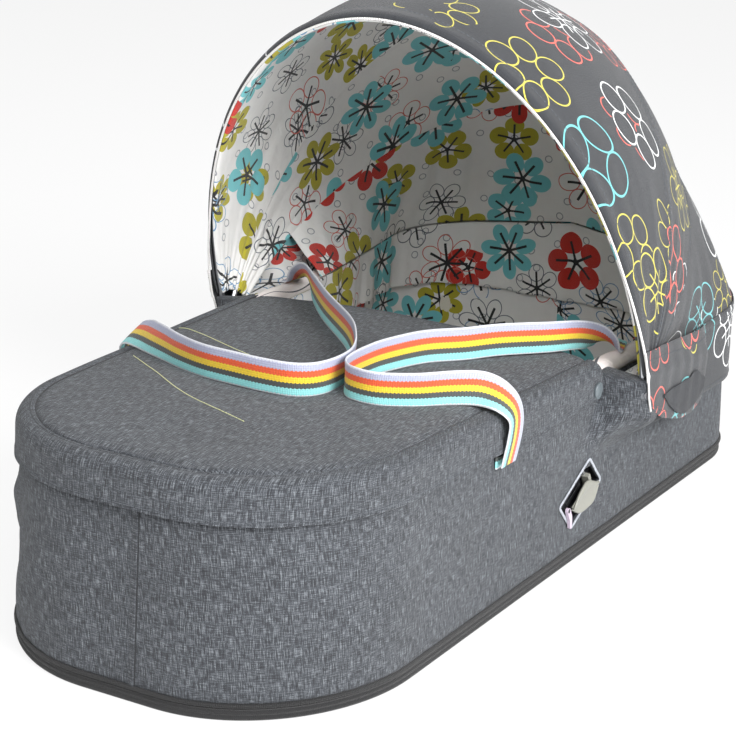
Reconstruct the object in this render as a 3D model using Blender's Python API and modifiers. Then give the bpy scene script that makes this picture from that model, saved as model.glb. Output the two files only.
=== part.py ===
"""A pushchair's soft carrycot: a padded tub with an apron, a folding hood, two carry straps and side clips.

The frame stands at the middle of the underside: +X is the cot's right side, +Y runs to the head end
and +Z is up. Lengths are metres. Every piece takes its place from the sizes named below.
"""
import math

import bmesh
import bpy
from mathutils import Matrix, Vector

MM = 0.001

# The tub, seen from above: a rounded outline that widens to the head end
TUB_LENGTH = 0.800
TUB_WIDTH = 0.346
WIDENING_share = 0.12
FOOT_CORNER = 0.138
HEAD_CORNER = 0.100
RIM_HEIGHT_FOOT = 0.176
RIM_HEIGHT_HEAD = 0.152
WALL_LEAN = -7 * MM

# Layers of the wall, from the outside in
COVER_CLOTH = 1.6 * MM
WALL_PADDING = 8 * MM
LINING_CLOTH = 1.2 * MM
GAP = 0.3 * MM
SOFT_GAP = 0.5 * MM

# The bottom
BAND_HEIGHT = 9.5 * MM
BOARD_THICKNESS = 6 * MM
PIPING_RADIUS = 1.6 * MM
MATTRESS_THICKNESS = 36 * MM
MATTRESS_CLOTH = 1.5 * MM

# The rim: a steel tube inside a padded roll
RIM_TUBE_RADIUS = 4.5 * MM
ROLL_CLEARANCE = 0.6 * MM
ROLL_PADDING = 3.2 * MM
ROLL_OPENING_DEG = 110.0

# The apron over the foot half
APRON_EDGE_Y = 0.040
APRON_CLOTH = 2 * MM
APRON_CROWN = 6 * MM
APRON_DROP = 32 * MM
APRON_SEAM_INSET = 15 * MM
APRON_SEAM_GAP = 1 * MM
APRON_EDGE_BOW = 16 * MM
APRON_EDGE_POWER = 4
APRON_ROW_POWER = 1.6
APRON_END_CROWN_share = 0.35
APRON_SKIRT_ROWS_shares = (0.6, 1)

# The hood's hinge and its three wire bows, tilted from upright towards the foot end
HINGE_Y = 0.056
HINGE_GAP = 2.26 * MM
HINGE_HALF_WIDTH = 0.2030
BOW_PITCH = 5.8 * MM
BOW_WIRE_RADIUS = 2.5 * MM
BOW_HALF_WIDTH = 0.211
BOW_POWER = 2.0
EYE_RADIUS = 6.5 * MM
PIN_RADIUS = 2.6 * MM
PIN_CLEARANCE = 0.3 * MM
PIN_HEAD_RADIUS = 5 * MM
PIN_HEAD = 1.6 * MM
FRONT_BOW_HEIGHT = 0.314
MIDDLE_BOW_HEIGHT = 0.320
REAR_BOW_HEIGHT = 0.338
FRONT_BOW_TILT_DEG = 18.6
MIDDLE_BOW_TILT_DEG = -28.8
REAR_BOW_TILT_DEG = -59.3

# The hood's cloth
HOOD_CLOTH = 1.4 * MM
HOOD_SAG = 5 * MM
HOOD_REACH = 25 * MM
REAR_LINING_REACH = 105 * MM
REAR_BULGE = 5 * MM
BULGE_SIDE_share = 0.35
BULGE_UP_share = 0.6
BULGE_FULL_SPAN = 20 * MM
REAR_EDGE_GAP = 2.1 * MM
TRIM_CLOTH = 1.2 * MM
TRIM_REACH = 75.1 * MM
TRIM_WRAP_DEG = 105.0
TRIM_STEPS = 6
PANEL_EDGE_GAP = 5 * MM

# The hood's skirt, which hangs outside the wall round the head end
SKIRT_Y = 0.078
SKIRT_STANDOFF = 4 * MM
SKIRT_TOP_SIDE = 0.138
SKIRT_TOP_REAR = 0.176
SKIRT_HEM_FRONT = 0.127
SKIRT_HEM_SIDE = 0.082
SKIRT_HEM_REAR = 0.072
SKIRT_RISE_POWER = 3
SKIRT_FALL_share = 0.167
SKIRT_ROWS = 3
HOOP_RADIUS = 2 * MM
FLAP_FRONT_Y = 0.093
FLAP_BACK_Y = 0.196
FLAP_TOP_FRONT = 0.133
FLAP_TOP_BACK = 0.108
FLAP_DROP = 34 * MM
FLAP_FRONT_DROP_share = 0.45
FLAP_ROUND_share = 0.15
FLAP_STEPS = 6

# The gathered lining inside the rim round the head end
CURTAIN_START_Y = 0.145
CURTAIN_BOTTOM = 0.104
CURTAIN_TOP_REAR = 0.186
CURTAIN_RISE_POWER = 2
CURTAIN_FOLD = 2.2 * MM
CURTAIN_FOLDS = 18
FOLD_STEPS = 4
FOLD_AT_TOP_share = 0.4

# The hinge bracket on the wall
BRACKET_LENGTH = 24 * MM
BRACKET_HEIGHT = 26 * MM
BRACKET_THICKNESS = 2.5 * MM
BRACKET_CORNER = 5 * MM
BOSS_RADIUS = 8 * MM
BORE_DEPTH = 4 * MM
RIVET_RADIUS = 2.8 * MM
RIVET_HEAD = 1.2 * MM
RIVET_SIDES = 12

# The carry straps
WEBBING_WIDTH = 27 * MM
WEBBING = 1.6 * MM
ANCHOR_HEIGHT = 8 * MM
ANCHOR_THICKNESS = 2 * MM
ANCHOR_DROP_share = 0.05

# The press studs that hold the apron
SNAP_Y = 0.029
SNAP_RISE = 10.5 * MM
SNAP_CAP_RADIUS = 6.7 * MM
SNAP_CAP = 2 * MM
SNAP_STUD_RADIUS = 4 * MM

# The clip in each side wall, slanted up to the head end
CLIP_Y = 0.0125
CLIP_Z = 0.0565
CLIP_SLANT_DEG = 26.0
SLIT_LENGTH = 58 * MM
SLIT_HEIGHT = 30 * MM
SLIT_SKEW = 9.5 * MM
BINDING_WIDTH = 3.2 * MM
BINDING_CLOTH = 0.9 * MM
HOUSING_WALL = 3 * MM
HOUSING_FLOOR = 1.6 * MM
POCKET_MARGIN = 1 * MM
LEVER_LENGTH = 44 * MM
LEVER_WIDTH = 14 * MM
LEVER_THICKNESS = 2.8 * MM
LEVER_CORNER = 3 * MM
LEVER_BARREL = 2.6 * MM
CLIP_PIN_RADIUS = 1.3 * MM
LEVER_PIVOT_share = 0.45
LEVER_OFFSET = -5 * MM
HOOK_THICKNESS = 2.6 * MM
HOOK_LENGTH = 17 * MM
HOOK_WIDTH = 5 * MM
HOOK_PIN_RADIUS = 1.7 * MM
HOOK_END_GAP = 2 * MM
HOOK_OFFSET = 6 * MM
SPRING_THICKNESS = 0.7 * MM
SPRING_LENGTH = 26 * MM
SPRING_WIDTH = 3 * MM
SPRING_ARCH = 0.4 * MM

# Steps of the outline and of the bows
SHARP_DEG = 35.0
HEAD_STEPS = 2
HEAD_ARC_STEPS = 6
SIDE_HEAD_STEPS = 3
SIDE_HOOD_STEPS = 2
SIDE_FOOT_STEPS = 4
FOOT_ARC_STEPS = 8
FOOT_STEPS = 1
BOW_STEPS = 26
ROLL_STEPS = 7
EDGE_STEPS = 4
PANEL_STEPS = 5
APRON_ROWS = 16
APRON_COLUMNS = 14
ROUND_SIDES = 24
PIN_SIDES = 12
ARC_STEPS = 6
STRAP_STEPS = 2
MERGE = 0.01 * MM
OVERRUN = 5 * MM
TAU = 2 * math.pi

HALF_LENGTH = TUB_LENGTH / 2
HALF_WIDTH = TUB_WIDTH / 2
PADDING_OFFSET = -COVER_CLOTH - GAP
LINING_OFFSET = PADDING_OFFSET - WALL_PADDING - GAP
ROLL_OFFSET = PADDING_OFFSET - WALL_PADDING / 2
ROLL_INNER = RIM_TUBE_RADIUS + ROLL_CLEARANCE
ROLL_OUTER = ROLL_INNER + ROLL_PADDING
APRON_INNER = ROLL_OUTER + SOFT_GAP
ROLL_DROP = APRON_INNER + APRON_CLOTH
APRON_HANG = ROLL_OFFSET + APRON_INNER
HOOD_STANDOFF = BOW_WIRE_RADIUS + SOFT_GAP
HOOK_ALONG = SLIT_LENGTH / 2 - HOOK_END_GAP
HOUSING_DEPTH = WALL_PADDING - 2 * GAP
CURTAIN_INSET = ROLL_OUTER - ROLL_OFFSET + CURTAIN_FOLD + LINING_CLOTH / 2 + SOFT_GAP


def clear_scene():
    for item in list(bpy.data.objects):
        bpy.data.objects.remove(item, do_unlink=True)


def new_collection(name):
    group = bpy.data.collections.new(name)
    bpy.context.scene.collection.children.link(group)
    return group


clear_scene()
PARTS = new_collection("carrycot")
CUTTERS = new_collection("cutters")


def finish(name, colour, roughness, metallic=0.0):
    """A plain material of one colour."""
    paint = bpy.data.materials.new(name)
    paint.use_nodes = True
    surface = paint.node_tree.nodes["Principled BSDF"]
    surface.inputs["Base Color"].default_value = (*colour, 1)
    surface.inputs["Roughness"].default_value = roughness
    surface.inputs["Metallic"].default_value = metallic
    return paint


GREY_CLOTH = finish("grey_cloth", (0.16, 0.18, 0.20), 0.9)
SLATE_CLOTH = finish("slate_cloth", (0.05, 0.055, 0.065), 0.8)
WHITE_CLOTH = finish("white_cloth", (0.80, 0.79, 0.76), 0.85)
PADDING = finish("padding", (0.70, 0.70, 0.68), 0.95)
BLACK_TRIM = finish("black_trim", (0.012, 0.012, 0.014), 0.6)
BOARD = finish("board", (0.05, 0.05, 0.05), 0.7)
STEEL = finish("steel", (0.55, 0.56, 0.58), 0.3, 1.0)
BLACK_PLASTIC = finish("black_plastic", (0.015, 0.015, 0.016), 0.45)
GREY_PLASTIC = finish("grey_plastic", (0.30, 0.29, 0.26), 0.5)
MAUVE_PLASTIC = finish("mauve_plastic", (0.48, 0.44, 0.46), 0.45)
STUD_GREY = finish("stud_grey", (0.17, 0.20, 0.20), 0.35)
WEBBING_STRIPES = finish("webbing", (0.83, 0.62, 0.05), 0.8)
BINDING = finish("binding", (0.62, 0.63, 0.66), 0.85)


def keep(item, name, material, group=PARTS):
    """Names an object, gives it its material and moves it to its collection."""
    item.name = name
    item.data.name = name
    item.data.materials.clear()
    if material:
        item.data.materials.append(material)
    for owner in list(item.users_collection):
        owner.objects.unlink(item)
    group.objects.link(item)
    return item


def as_cutter(item):
    item.hide_render = True
    item.display_type = "WIRE"
    return item


def mesh_object(name, bm, material, group=PARTS):
    mesh = bpy.data.meshes.new(name)
    bm.to_mesh(mesh)
    bm.free()
    item = bpy.data.objects.new(name, mesh)
    bpy.context.scene.collection.objects.link(item)
    return keep(item, name, material, group)


def smooth(item):
    item.data.shade_smooth()
    item.data.set_sharp_from_angle(angle=math.radians(SHARP_DEG))
    return item


def boolean(item, other, operation):
    """Applies one exact boolean and leaves the other object among the cutters."""
    step = item.modifiers.new(operation.lower(), "BOOLEAN")
    step.object = other
    step.operation = operation
    step.solver = "EXACT"
    return step


def settle(item):
    """Makes a plain mesh of an object as it is evaluated, with its modifiers or its curve."""
    graph = bpy.context.evaluated_depsgraph_get()
    graph.update()
    mesh = bpy.data.meshes.new_from_object(item.evaluated_get(graph))
    bm = bmesh.new()
    bm.from_mesh(mesh)
    bmesh.ops.remove_doubles(bm, verts=bm.verts, dist=MERGE)
    bm.to_mesh(mesh)
    bm.free()
    name = item.name
    group = item.users_collection[0]
    matrix = item.matrix_world.copy()
    material = item.data.materials[0] if item.data.materials else None
    bpy.data.objects.remove(item, do_unlink=True)
    solid = bpy.data.objects.new(name, mesh)
    group.objects.link(solid)
    solid.matrix_world = matrix
    mesh.materials.clear()
    if material:
        mesh.materials.append(material)
    return solid


def joined(name, items, material):
    """Unites solids that touch into one body."""
    body = settle(items[0])
    for other in items[1:]:
        other = settle(other)
        boolean(body, other, "UNION")
        body = settle(body)
        bpy.data.objects.remove(other, do_unlink=True)
    return keep(body, name, material)


def sheet(name, rows, thickness, side, material, closed=False):
    """Cloth or board through rows of points, thickened to one side of its face."""
    across = len(rows[0]) if closed else len(rows[0]) - 1
    down = len(rows) - 1
    bm = bmesh.new()
    bmesh.ops.create_grid(bm, x_segments=across, y_segments=down, size=1)
    for vertex in bm.verts:
        column = round((vertex.co.x + 1) / 2 * across)
        row = round((vertex.co.y + 1) / 2 * down)
        vertex.co = rows[row][column % len(rows[0])]
    bmesh.ops.remove_doubles(bm, verts=bm.verts, dist=MERGE)
    item = mesh_object(name, bm, material)
    skin = item.modifiers.new("cloth", "SOLIDIFY")
    skin.thickness = thickness
    skin.offset = side
    skin.use_even_offset = True
    return smooth(item)


def plate(name, points, bottom, thickness, material):
    """A flat piece of one outline, standing from its bottom height."""
    curve = bpy.data.curves.new(name, "CURVE")
    curve.dimensions = "2D"
    curve.fill_mode = "BOTH"
    curve.extrude = thickness / 2
    line = curve.splines.new("POLY")
    line.points.add(len(points) - 1)
    for point, place in zip(line.points, points):
        point.co = (place[0], place[1], 0, 1)
    line.use_cyclic_u = True
    item = bpy.data.objects.new(name, curve)
    item.location.z = bottom + thickness / 2
    bpy.context.scene.collection.objects.link(item)
    keep(item, name, material)
    bpy.context.view_layer.update()
    return settle(item)


def tube(name, points, radius, material, closed=False, resolution=2):
    curve = bpy.data.curves.new(name, "CURVE")
    curve.dimensions = "3D"
    curve.bevel_depth = radius
    curve.bevel_resolution = resolution
    curve.use_fill_caps = not closed
    line = curve.splines.new("POLY")
    line.points.add(len(points) - 1)
    for point, place in zip(line.points, points):
        point.co = (*place, 1)
    line.use_cyclic_u = closed
    item = bpy.data.objects.new(name, curve)
    bpy.context.scene.collection.objects.link(item)
    keep(item, name, material)
    return settle(item)


def cylinder(name, radius, start, end, material, sides=ROUND_SIDES):
    """A round solid between two points."""
    start = Vector(start)
    end = Vector(end)
    run = end - start
    bpy.ops.mesh.primitive_cylinder_add(vertices=sides, radius=radius, depth=run.length)
    item = bpy.context.active_object
    item.matrix_world = Matrix.Translation((start + end) / 2) @ run.to_track_quat("Z", "Y").to_matrix().to_4x4()
    return smooth(keep(item, name, material))


def box(name, size, frame, material, corner=0.0, segments=3):
    """A box of a size in a frame, with its edges along the frame's third axis rounded."""
    bpy.ops.mesh.primitive_cube_add(size=1)
    item = bpy.context.active_object
    item.data.transform(Matrix.Diagonal((*size, 1)))
    if corner:
        bm = bmesh.new()
        bm.from_mesh(item.data)
        uprights = [e for e in bm.edges if abs(e.verts[0].co.z - e.verts[1].co.z) > MERGE]
        bmesh.ops.bevel(bm, geom=uprights, offset=corner, segments=segments, affect="EDGES", profile=0.5)
        bm.to_mesh(item.data)
        bm.free()
    item.matrix_world = frame
    return keep(item, name, material)


# The tub's outline and wall


def half_outline(offset):
    """The right half of the outline, from the middle of the head end to the middle of the foot end."""
    points = []

    def run(start, end, steps, out):
        for step in range(steps):
            points.append((Vector(start).lerp(Vector(end), step / steps), Vector(out)))

    def arc(centre, radius, first, last, steps):
        for step in range(steps):
            angle = math.radians(first + (last - first) * step / steps)
            out = Vector((math.cos(angle), math.sin(angle)))
            points.append((Vector(centre) + out * radius, out))

    head_centre = (HALF_WIDTH - HEAD_CORNER, HALF_LENGTH - HEAD_CORNER)
    foot_centre = (HALF_WIDTH - FOOT_CORNER, FOOT_CORNER - HALF_LENGTH)
    run((0, HALF_LENGTH), (head_centre[0], HALF_LENGTH), HEAD_STEPS, (0, 1))
    arc(head_centre, HEAD_CORNER, 90, 0, HEAD_ARC_STEPS)
    run((HALF_WIDTH, head_centre[1]), (HALF_WIDTH, SKIRT_Y), SIDE_HEAD_STEPS, (1, 0))
    run((HALF_WIDTH, SKIRT_Y), (HALF_WIDTH, APRON_EDGE_Y), SIDE_HOOD_STEPS, (1, 0))
    run((HALF_WIDTH, APRON_EDGE_Y), (HALF_WIDTH, foot_centre[1]), SIDE_FOOT_STEPS, (1, 0))
    arc(foot_centre, FOOT_CORNER, 0, -90, FOOT_ARC_STEPS)
    run((foot_centre[0], -HALF_LENGTH), (0, -HALF_LENGTH), FOOT_STEPS, (0, -1))
    points.append((Vector((0, -HALF_LENGTH)), Vector((0, -1))))
    return [Vector((point.x * widening(point.y), point.y)) + out * offset for point, out in points]


def widening(y):
    return 1 + WIDENING_share * y / HALF_LENGTH


SKIRT_INDEX = HEAD_STEPS + HEAD_ARC_STEPS + SIDE_HEAD_STEPS
APRON_INDEX = SKIRT_INDEX + SIDE_HOOD_STEPS


def mirrored(points):
    return [Vector((-point.x, *point[1:])) for point in points]


def ring(offset):
    """The whole outline, closed."""
    half = half_outline(offset)
    return half + mirrored(half[-2:0:-1])


def foot_run(offset):
    """The outline round the foot end, from the apron's edge on the right to that on the left."""
    half = half_outline(offset)[APRON_INDEX:]
    return half + mirrored(half[-2::-1])


def head_run(offset):
    """The outline round the head end, from the skirt's end on the left to that on the right."""
    half = half_outline(offset)[:SKIRT_INDEX + 1]
    return mirrored(half[:0:-1]) + half


def rim_height(y):
    share = (y + HALF_LENGTH) / TUB_LENGTH
    return RIM_HEIGHT_FOOT + (RIM_HEIGHT_HEAD - RIM_HEIGHT_FOOT) * share


def roll_height(y):
    """The height of the rim tube's centre."""
    return rim_height(y) - ROLL_DROP


def lean(z, y):
    return WALL_LEAN * z / rim_height(y)


def top_lean(y):
    """How far the wall has leaned out at the rim tube's height."""
    return lean(roll_height(y), y)


def wall_row(path, offset, height):
    """Points along an outline at a height, which may be a function of y, leaning out with the wall."""
    middle = path(offset)
    row = []
    for index, point in enumerate(middle):
        z = height(point.y) if callable(height) else height
        leaning = path(offset + lean(z, point.y))[index]
        row.append(Vector((leaning.x, leaning.y, z)))
    return row


def half_width_at(y, offset):
    """Half the outline's width at a place along it."""
    for corner, end in ((HEAD_CORNER, 1), (FOOT_CORNER, -1)):
        past = y * end - HALF_LENGTH + corner
        if past > 0:
            rise = min(past / (corner + offset), 1)
            across = math.sqrt(1 - rise * rise)
            centre_y = (HALF_LENGTH - corner) * end
            plain = HALF_WIDTH - corner + corner * across
            return plain * widening(centre_y + corner * rise * end) + offset * across
    return HALF_WIDTH * widening(y) + offset


def wall_frame(y, z, side):
    """A frame on the cover's outer face: its first axis runs to the head end, its second up the wall,
    its third outwards. side is 1 on the right and -1 on the left."""
    def on_face(y, z):
        return Vector((half_width_at(y, lean(z, y)) * side, y, z))

    origin = on_face(y, z)
    along = (on_face(y + OVERRUN, z) - origin).normalized()
    up = (on_face(y, z + OVERRUN) - origin).normalized()
    out = along.cross(up).normalized() * side
    up = out.cross(along).normalized() * side
    frame = Matrix.Identity(4)
    frame.col[0][:3] = along * side
    frame.col[1][:3] = up
    frame.col[2][:3] = out
    frame.col[3][:3] = origin
    return frame


def placed(frame, x, y, z):
    return frame @ Matrix.Translation((x, y, z))


def make_bottom():
    edge = PADDING_OFFSET + lean(BOARD_THICKNESS, HALF_LENGTH)
    plate("base_board", [p[:] for p in ring(edge)], 0, BOARD_THICKNESS, BOARD)
    sheet("base_band", [wall_row(ring, 0, 0), wall_row(ring, 0, BAND_HEIGHT)],
          COVER_CLOTH, 1, BLACK_TRIM, closed=True)
    line = wall_row(ring, 0, BAND_HEIGHT + GAP + PIPING_RADIUS)
    tube("base_piping", line, PIPING_RADIUS, BLACK_TRIM, closed=True)


def slit_points(margin):
    """The slit's slanted four corners in the clip's frame, grown by a margin."""
    half = SLIT_LENGTH / 2 + margin
    rise = SLIT_HEIGHT / 2 + margin
    skew = SLIT_SKEW / 2
    return [(-half + skew, -rise), (half + skew, -rise), (half - skew, rise), (-half - skew, rise)]


def clip_frame(side):
    """The clip's frame: first axis up to the head end along the slant, third axis outwards."""
    wall = wall_frame(CLIP_Y, CLIP_Z, side)
    return wall @ Matrix.Rotation(math.radians(CLIP_SLANT_DEG) * side, 4, "Z")


def prism(name, corners, depth, frame, side, material, group=PARTS):
    """A straight-sided solid over corners given in the clip's right-hand layout."""
    solid = plate(name, [(x * side, y) for x, y in corners], -depth / 2, depth, material)
    solid.matrix_world = frame
    return keep(solid, name, material, group)


def make_wall():
    def top(y):
        return roll_height(y) - ROLL_OUTER * math.cos(math.radians(ROLL_OPENING_DEG / 2)) - SOFT_GAP

    def tube_foot(y):
        return roll_height(y) - RIM_TUBE_RADIUS - ROLL_CLEARANCE

    low = BAND_HEIGHT + 2 * (GAP + PIPING_RADIUS)
    on_board = BOARD_THICKNESS + GAP + WALL_PADDING * abs(WALL_LEAN) / RIM_HEIGHT_HEAD
    cover = sheet("outer_cover", [wall_row(ring, 0, low), wall_row(ring, 0, lambda y: (low + top(y)) / 2),
                                  wall_row(ring, 0, top)], COVER_CLOTH, 1, GREY_CLOTH, closed=True)
    padding = sheet("wall_padding", [wall_row(ring, PADDING_OFFSET, on_board),
                                     wall_row(ring, PADDING_OFFSET, tube_foot)],
                    WALL_PADDING, 1, PADDING, closed=True)
    sheet("lining", [wall_row(ring, LINING_OFFSET, on_board), wall_row(ring, LINING_OFFSET, top)],
          LINING_CLOTH, 1, WHITE_CLOTH, closed=True)
    for side, word in ((1, "right"), (-1, "left")):
        frame = clip_frame(side)
        slit = as_cutter(prism("slit_cutter_" + word, slit_points(0), 2 * OVERRUN, frame, side, None, CUTTERS))
        boolean(cover, slit, "DIFFERENCE")
        length, height = housing_size()
        window = box("window_cutter_" + word, (length + 2 * GAP, height + 2 * GAP, 2 * WALL_PADDING + OVERRUN),
                     placed(frame, 0, 0, PADDING_OFFSET - WALL_PADDING / 2), None)
        boolean(padding, as_cutter(keep(window, window.name, None, CUTTERS)), "DIFFERENCE")


def make_rim():
    def roll_row(path, angle, radius):
        offset = ROLL_OFFSET + radius * math.sin(angle)
        row = []
        for index, point in enumerate(path(ROLL_OFFSET)):
            z = roll_height(point.y)
            place = path(offset + lean(z, point.y))[index]
            row.append(Vector((place.x, place.y, z + radius * math.cos(angle))))
        return row

    line = roll_row(ring, 0, 0)
    tube("rim_tube", line, RIM_TUBE_RADIUS, STEEL, closed=True, resolution=2)
    half = math.radians(180 - ROLL_OPENING_DEG / 2)
    rows = [roll_row(ring, half - 2 * half * step / ROLL_STEPS, ROLL_OUTER) for step in range(ROLL_STEPS + 1)]
    sheet("rim_roll", rows, ROLL_PADDING, 1, WHITE_CLOTH, closed=True)


def make_mattress():
    low = BOARD_THICKNESS + GAP
    edge = LINING_OFFSET - LINING_CLOTH - SOFT_GAP + lean(low + MATTRESS_THICKNESS, HALF_LENGTH)
    plate("mattress_core", [p[:] for p in ring(edge - MATTRESS_CLOTH - GAP)], low,
          MATTRESS_THICKNESS - MATTRESS_CLOTH - GAP, PADDING)
    cover = plate("mattress_cover", [p[:] for p in ring(edge)], low, MATTRESS_THICKNESS, WHITE_CLOTH)
    bm = bmesh.new()
    bm.from_mesh(cover.data)
    under = [face for face in bm.faces if face.normal.z < 0 and abs(face.normal.x) + abs(face.normal.y) < MERGE]
    bmesh.ops.delete(bm, geom=under, context="FACES")
    bm.to_mesh(cover.data)
    bm.free()
    skin = cover.modifiers.new("cloth", "SOLIDIFY")
    skin.thickness = MATTRESS_CLOTH
    skin.offset = -1


# The apron


def apron_surface(x, y):
    """The height of the apron's top face."""
    span = half_width_at(y, 0)
    across = max(0, 1 - (x / span) ** 2)
    along = max(0, 1 - (2 * (y + HALF_LENGTH) / (HALF_LENGTH + APRON_EDGE_Y) - 1) ** APRON_EDGE_POWER)
    swell = APRON_END_CROWN_share + (1 - APRON_END_CROWN_share) * along
    return rim_height(y) + APRON_CROWN * across * swell


def make_apron():
    seam = ROLL_OFFSET + ROLL_DROP - APRON_SEAM_INSET
    half = HALF_LENGTH + seam + top_lean(-HALF_LENGTH) - APRON_SEAM_GAP
    rows = []
    for row in range(APRON_ROWS + 1):
        share = row / APRON_ROWS
        y = -half + (half + APRON_EDGE_Y) * share ** APRON_ROW_POWER
        line = []
        for column in range(APRON_COLUMNS + 1):
            across = 2 * column / APRON_COLUMNS - 1
            lead = APRON_EDGE_BOW * (1 - across ** 2) * share ** APRON_EDGE_POWER
            x = across * half_width_at(y, seam + top_lean(y) - APRON_SEAM_GAP)
            line.append(Vector((x, y + lead, apron_surface(x, y))))
        rows.append(line)
    sheet("apron_panel", rows, APRON_CLOTH, -1, GREY_CLOTH)

    def edge_row(offset, height):
        row = []
        for index, point in enumerate(foot_run(ROLL_OFFSET)):
            place = foot_run(offset + top_lean(point.y))[index]
            row.append(Vector((place.x, place.y, roll_height(point.y) + height)))
        return row

    rows = [edge_row(seam + SOFT_GAP, ROLL_DROP)]
    for step in range(EDGE_STEPS + 1):
        angle = math.pi / 2 * step / EDGE_STEPS
        rows.append(edge_row(ROLL_OFFSET + ROLL_DROP * math.sin(angle), ROLL_DROP * math.cos(angle)))
    for share in APRON_SKIRT_ROWS_shares:
        rows.append(edge_row(ROLL_OFFSET + ROLL_DROP, ROLL_DROP - APRON_DROP * share))
    sheet("apron_skirt", rows, APRON_CLOTH, -1, GREY_CLOTH)


def make_snaps():
    """A cap outside the skirt, a socket inside it and a stud on the cover, face to face."""
    for side, word in ((1, "right"), (-1, "left")):
        z = rim_height(SNAP_Y) - APRON_DROP + SNAP_RISE
        inside = half_width_at(SNAP_Y, lean(roll_height(SNAP_Y), SNAP_Y) + APRON_HANG) * side
        outside = inside + (APRON_CLOTH + SOFT_GAP) * side
        face = wall_frame(SNAP_Y, z, side).translation.x
        meeting = (inside + face) / 2

        def disc(name, radius, start, end, material):
            cylinder(name + word, radius, (start, SNAP_Y, z), (end, SNAP_Y, z), material)

        disc("snap_cap_", SNAP_CAP_RADIUS, outside, outside + SNAP_CAP * side, STUD_GREY)
        disc("snap_socket_", SNAP_STUD_RADIUS, inside - SOFT_GAP * side, meeting + GAP / 2 * side, STEEL)
        disc("snap_stud_", SNAP_STUD_RADIUS, meeting - GAP / 2 * side, face + SOFT_GAP * side, STEEL)


# The hood

# The hinge brackets hang just under the lip of the padded rim.
ROLL_LIP = ROLL_OUTER * math.cos(math.radians(ROLL_OPENING_DEG / 2))
HINGE_HEIGHT = roll_height(HINGE_Y) - ROLL_LIP - HINGE_GAP - BRACKET_HEIGHT / 4


def bow_point(angle, level, height, tilt_deg, standoff=0.0):
    """A point of a bow: angle 0 at the right hinge, half a turn at the left one."""
    power = 2 / BOW_POWER
    rise = abs(math.sin(angle)) ** power
    turn = math.cos(angle)
    full = HINGE_HALF_WIDTH - level * BOW_PITCH
    half = BOW_HALF_WIDTH - (BOW_HALF_WIDTH - full) * (1 - rise) ** 2 + standoff
    reach = (height + standoff) * rise
    tilt = math.radians(tilt_deg)
    x = half * math.copysign(abs(turn) ** power, turn)
    return Vector((x, HINGE_Y - reach * math.sin(tilt), HINGE_HEIGHT + reach * math.cos(tilt)))


BOWS = {
    "front": (0, FRONT_BOW_HEIGHT, FRONT_BOW_TILT_DEG),
    "middle": (1, MIDDLE_BOW_HEIGHT, MIDDLE_BOW_TILT_DEG),
    "rear": (2, REAR_BOW_HEIGHT, REAR_BOW_TILT_DEG),
}


def reach_angle(reach, height):
    """The bow's angle at which it has gone a distance out from the hinge."""
    return math.asin((reach / height) ** (BOW_POWER / 2))


def bow_angles(reach, height):
    """The bow's own steps, from the angle where it has gone a distance out from the hinge."""
    first = reach_angle(reach, height)
    step = math.pi / BOW_STEPS
    between = [k * step for k in range(BOW_STEPS + 1) if first + step / 3 < k * step < math.pi - first - step / 3]
    return [first, *between, math.pi - first]


def make_bow(key):
    level, height, tilt = BOWS[key]
    angles = [math.pi * step / BOW_STEPS for step in range(BOW_STEPS + 1)]
    wire = tube("bow_" + key, [bow_point(a, level, height, tilt) for a in angles], BOW_WIRE_RADIUS, STEEL)
    eyes = []
    reach = HINGE_HALF_WIDTH - level * BOW_PITCH
    half_eye = (BOW_PITCH - GAP) / 2
    for side in (1, -1):
        centre = Vector((reach * side, HINGE_Y, HINGE_HEIGHT))
        step = Vector((half_eye * side, 0, 0))
        eyes.append(cylinder("eye", EYE_RADIUS, centre - step, centre + step, STEEL))
    bow = joined("bow_" + key, [wire, *eyes], STEEL)
    for side in (1, -1):
        centre = Vector((reach * side, HINGE_Y, HINGE_HEIGHT))
        step = Vector((OVERRUN, 0, 0))
        bore = cylinder("bore_cutter", PIN_RADIUS + PIN_CLEARANCE, centre - step, centre + step, None)
        keep(bore, "bore_cutter_%s_%d" % (key, side), None, CUTTERS)
        boolean(bow, as_cutter(bore), "DIFFERENCE")
    return bow


def hood_point(first, last, share, angle, standoff, margin):
    """A point of the cloth between two bows, with a little sag, kept a margin behind the first bow."""
    level_a, height_a, tilt_a = BOWS[first]
    level_b, height_b, tilt_b = BOWS[last]
    rise = abs(math.sin(angle)) ** (2 / BOW_POWER)
    reach = height_a * rise
    start = tilt_a - math.degrees(math.asin(min(0.9, margin / reach)))
    end = tilt_b + math.degrees(math.asin(min(0.9, SOFT_GAP / reach)))
    level = level_a + (level_b - level_a) * share
    height = height_a + (height_b - height_a) * share
    sag = HOOD_SAG * math.sin(math.pi * share) * rise
    tilt = start + (end - start) * share
    return bow_point(angle, level, height - sag, tilt, standoff)


def make_hood_panels():
    pieces = []
    for first, last, margin in (("front", "middle", PANEL_EDGE_GAP), ("middle", "rear", SOFT_GAP)):
        angles = bow_angles(HOOD_REACH, BOWS[first][1])
        for word, standoff, side, cloth in (("canopy", HOOD_STANDOFF, -1, SLATE_CLOTH),
                                            ("hood_lining", -HOOD_STANDOFF, 1, WHITE_CLOTH)):
            rows = []
            for step in range(PANEL_STEPS + 1):
                share = step / PANEL_STEPS
                rows.append([hood_point(first, last, share, a, standoff, margin) for a in angles])
            pieces.append(sheet("%s_%s" % (word, first), rows, HOOD_CLOTH, side, cloth))
    return pieces


def skirt_top(share):
    """The height of the hood skirt's top, for the share of the way from its end to the rear."""
    return SKIRT_TOP_SIDE + (SKIRT_TOP_REAR - SKIRT_TOP_SIDE) * share ** SKIRT_RISE_POWER


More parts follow.
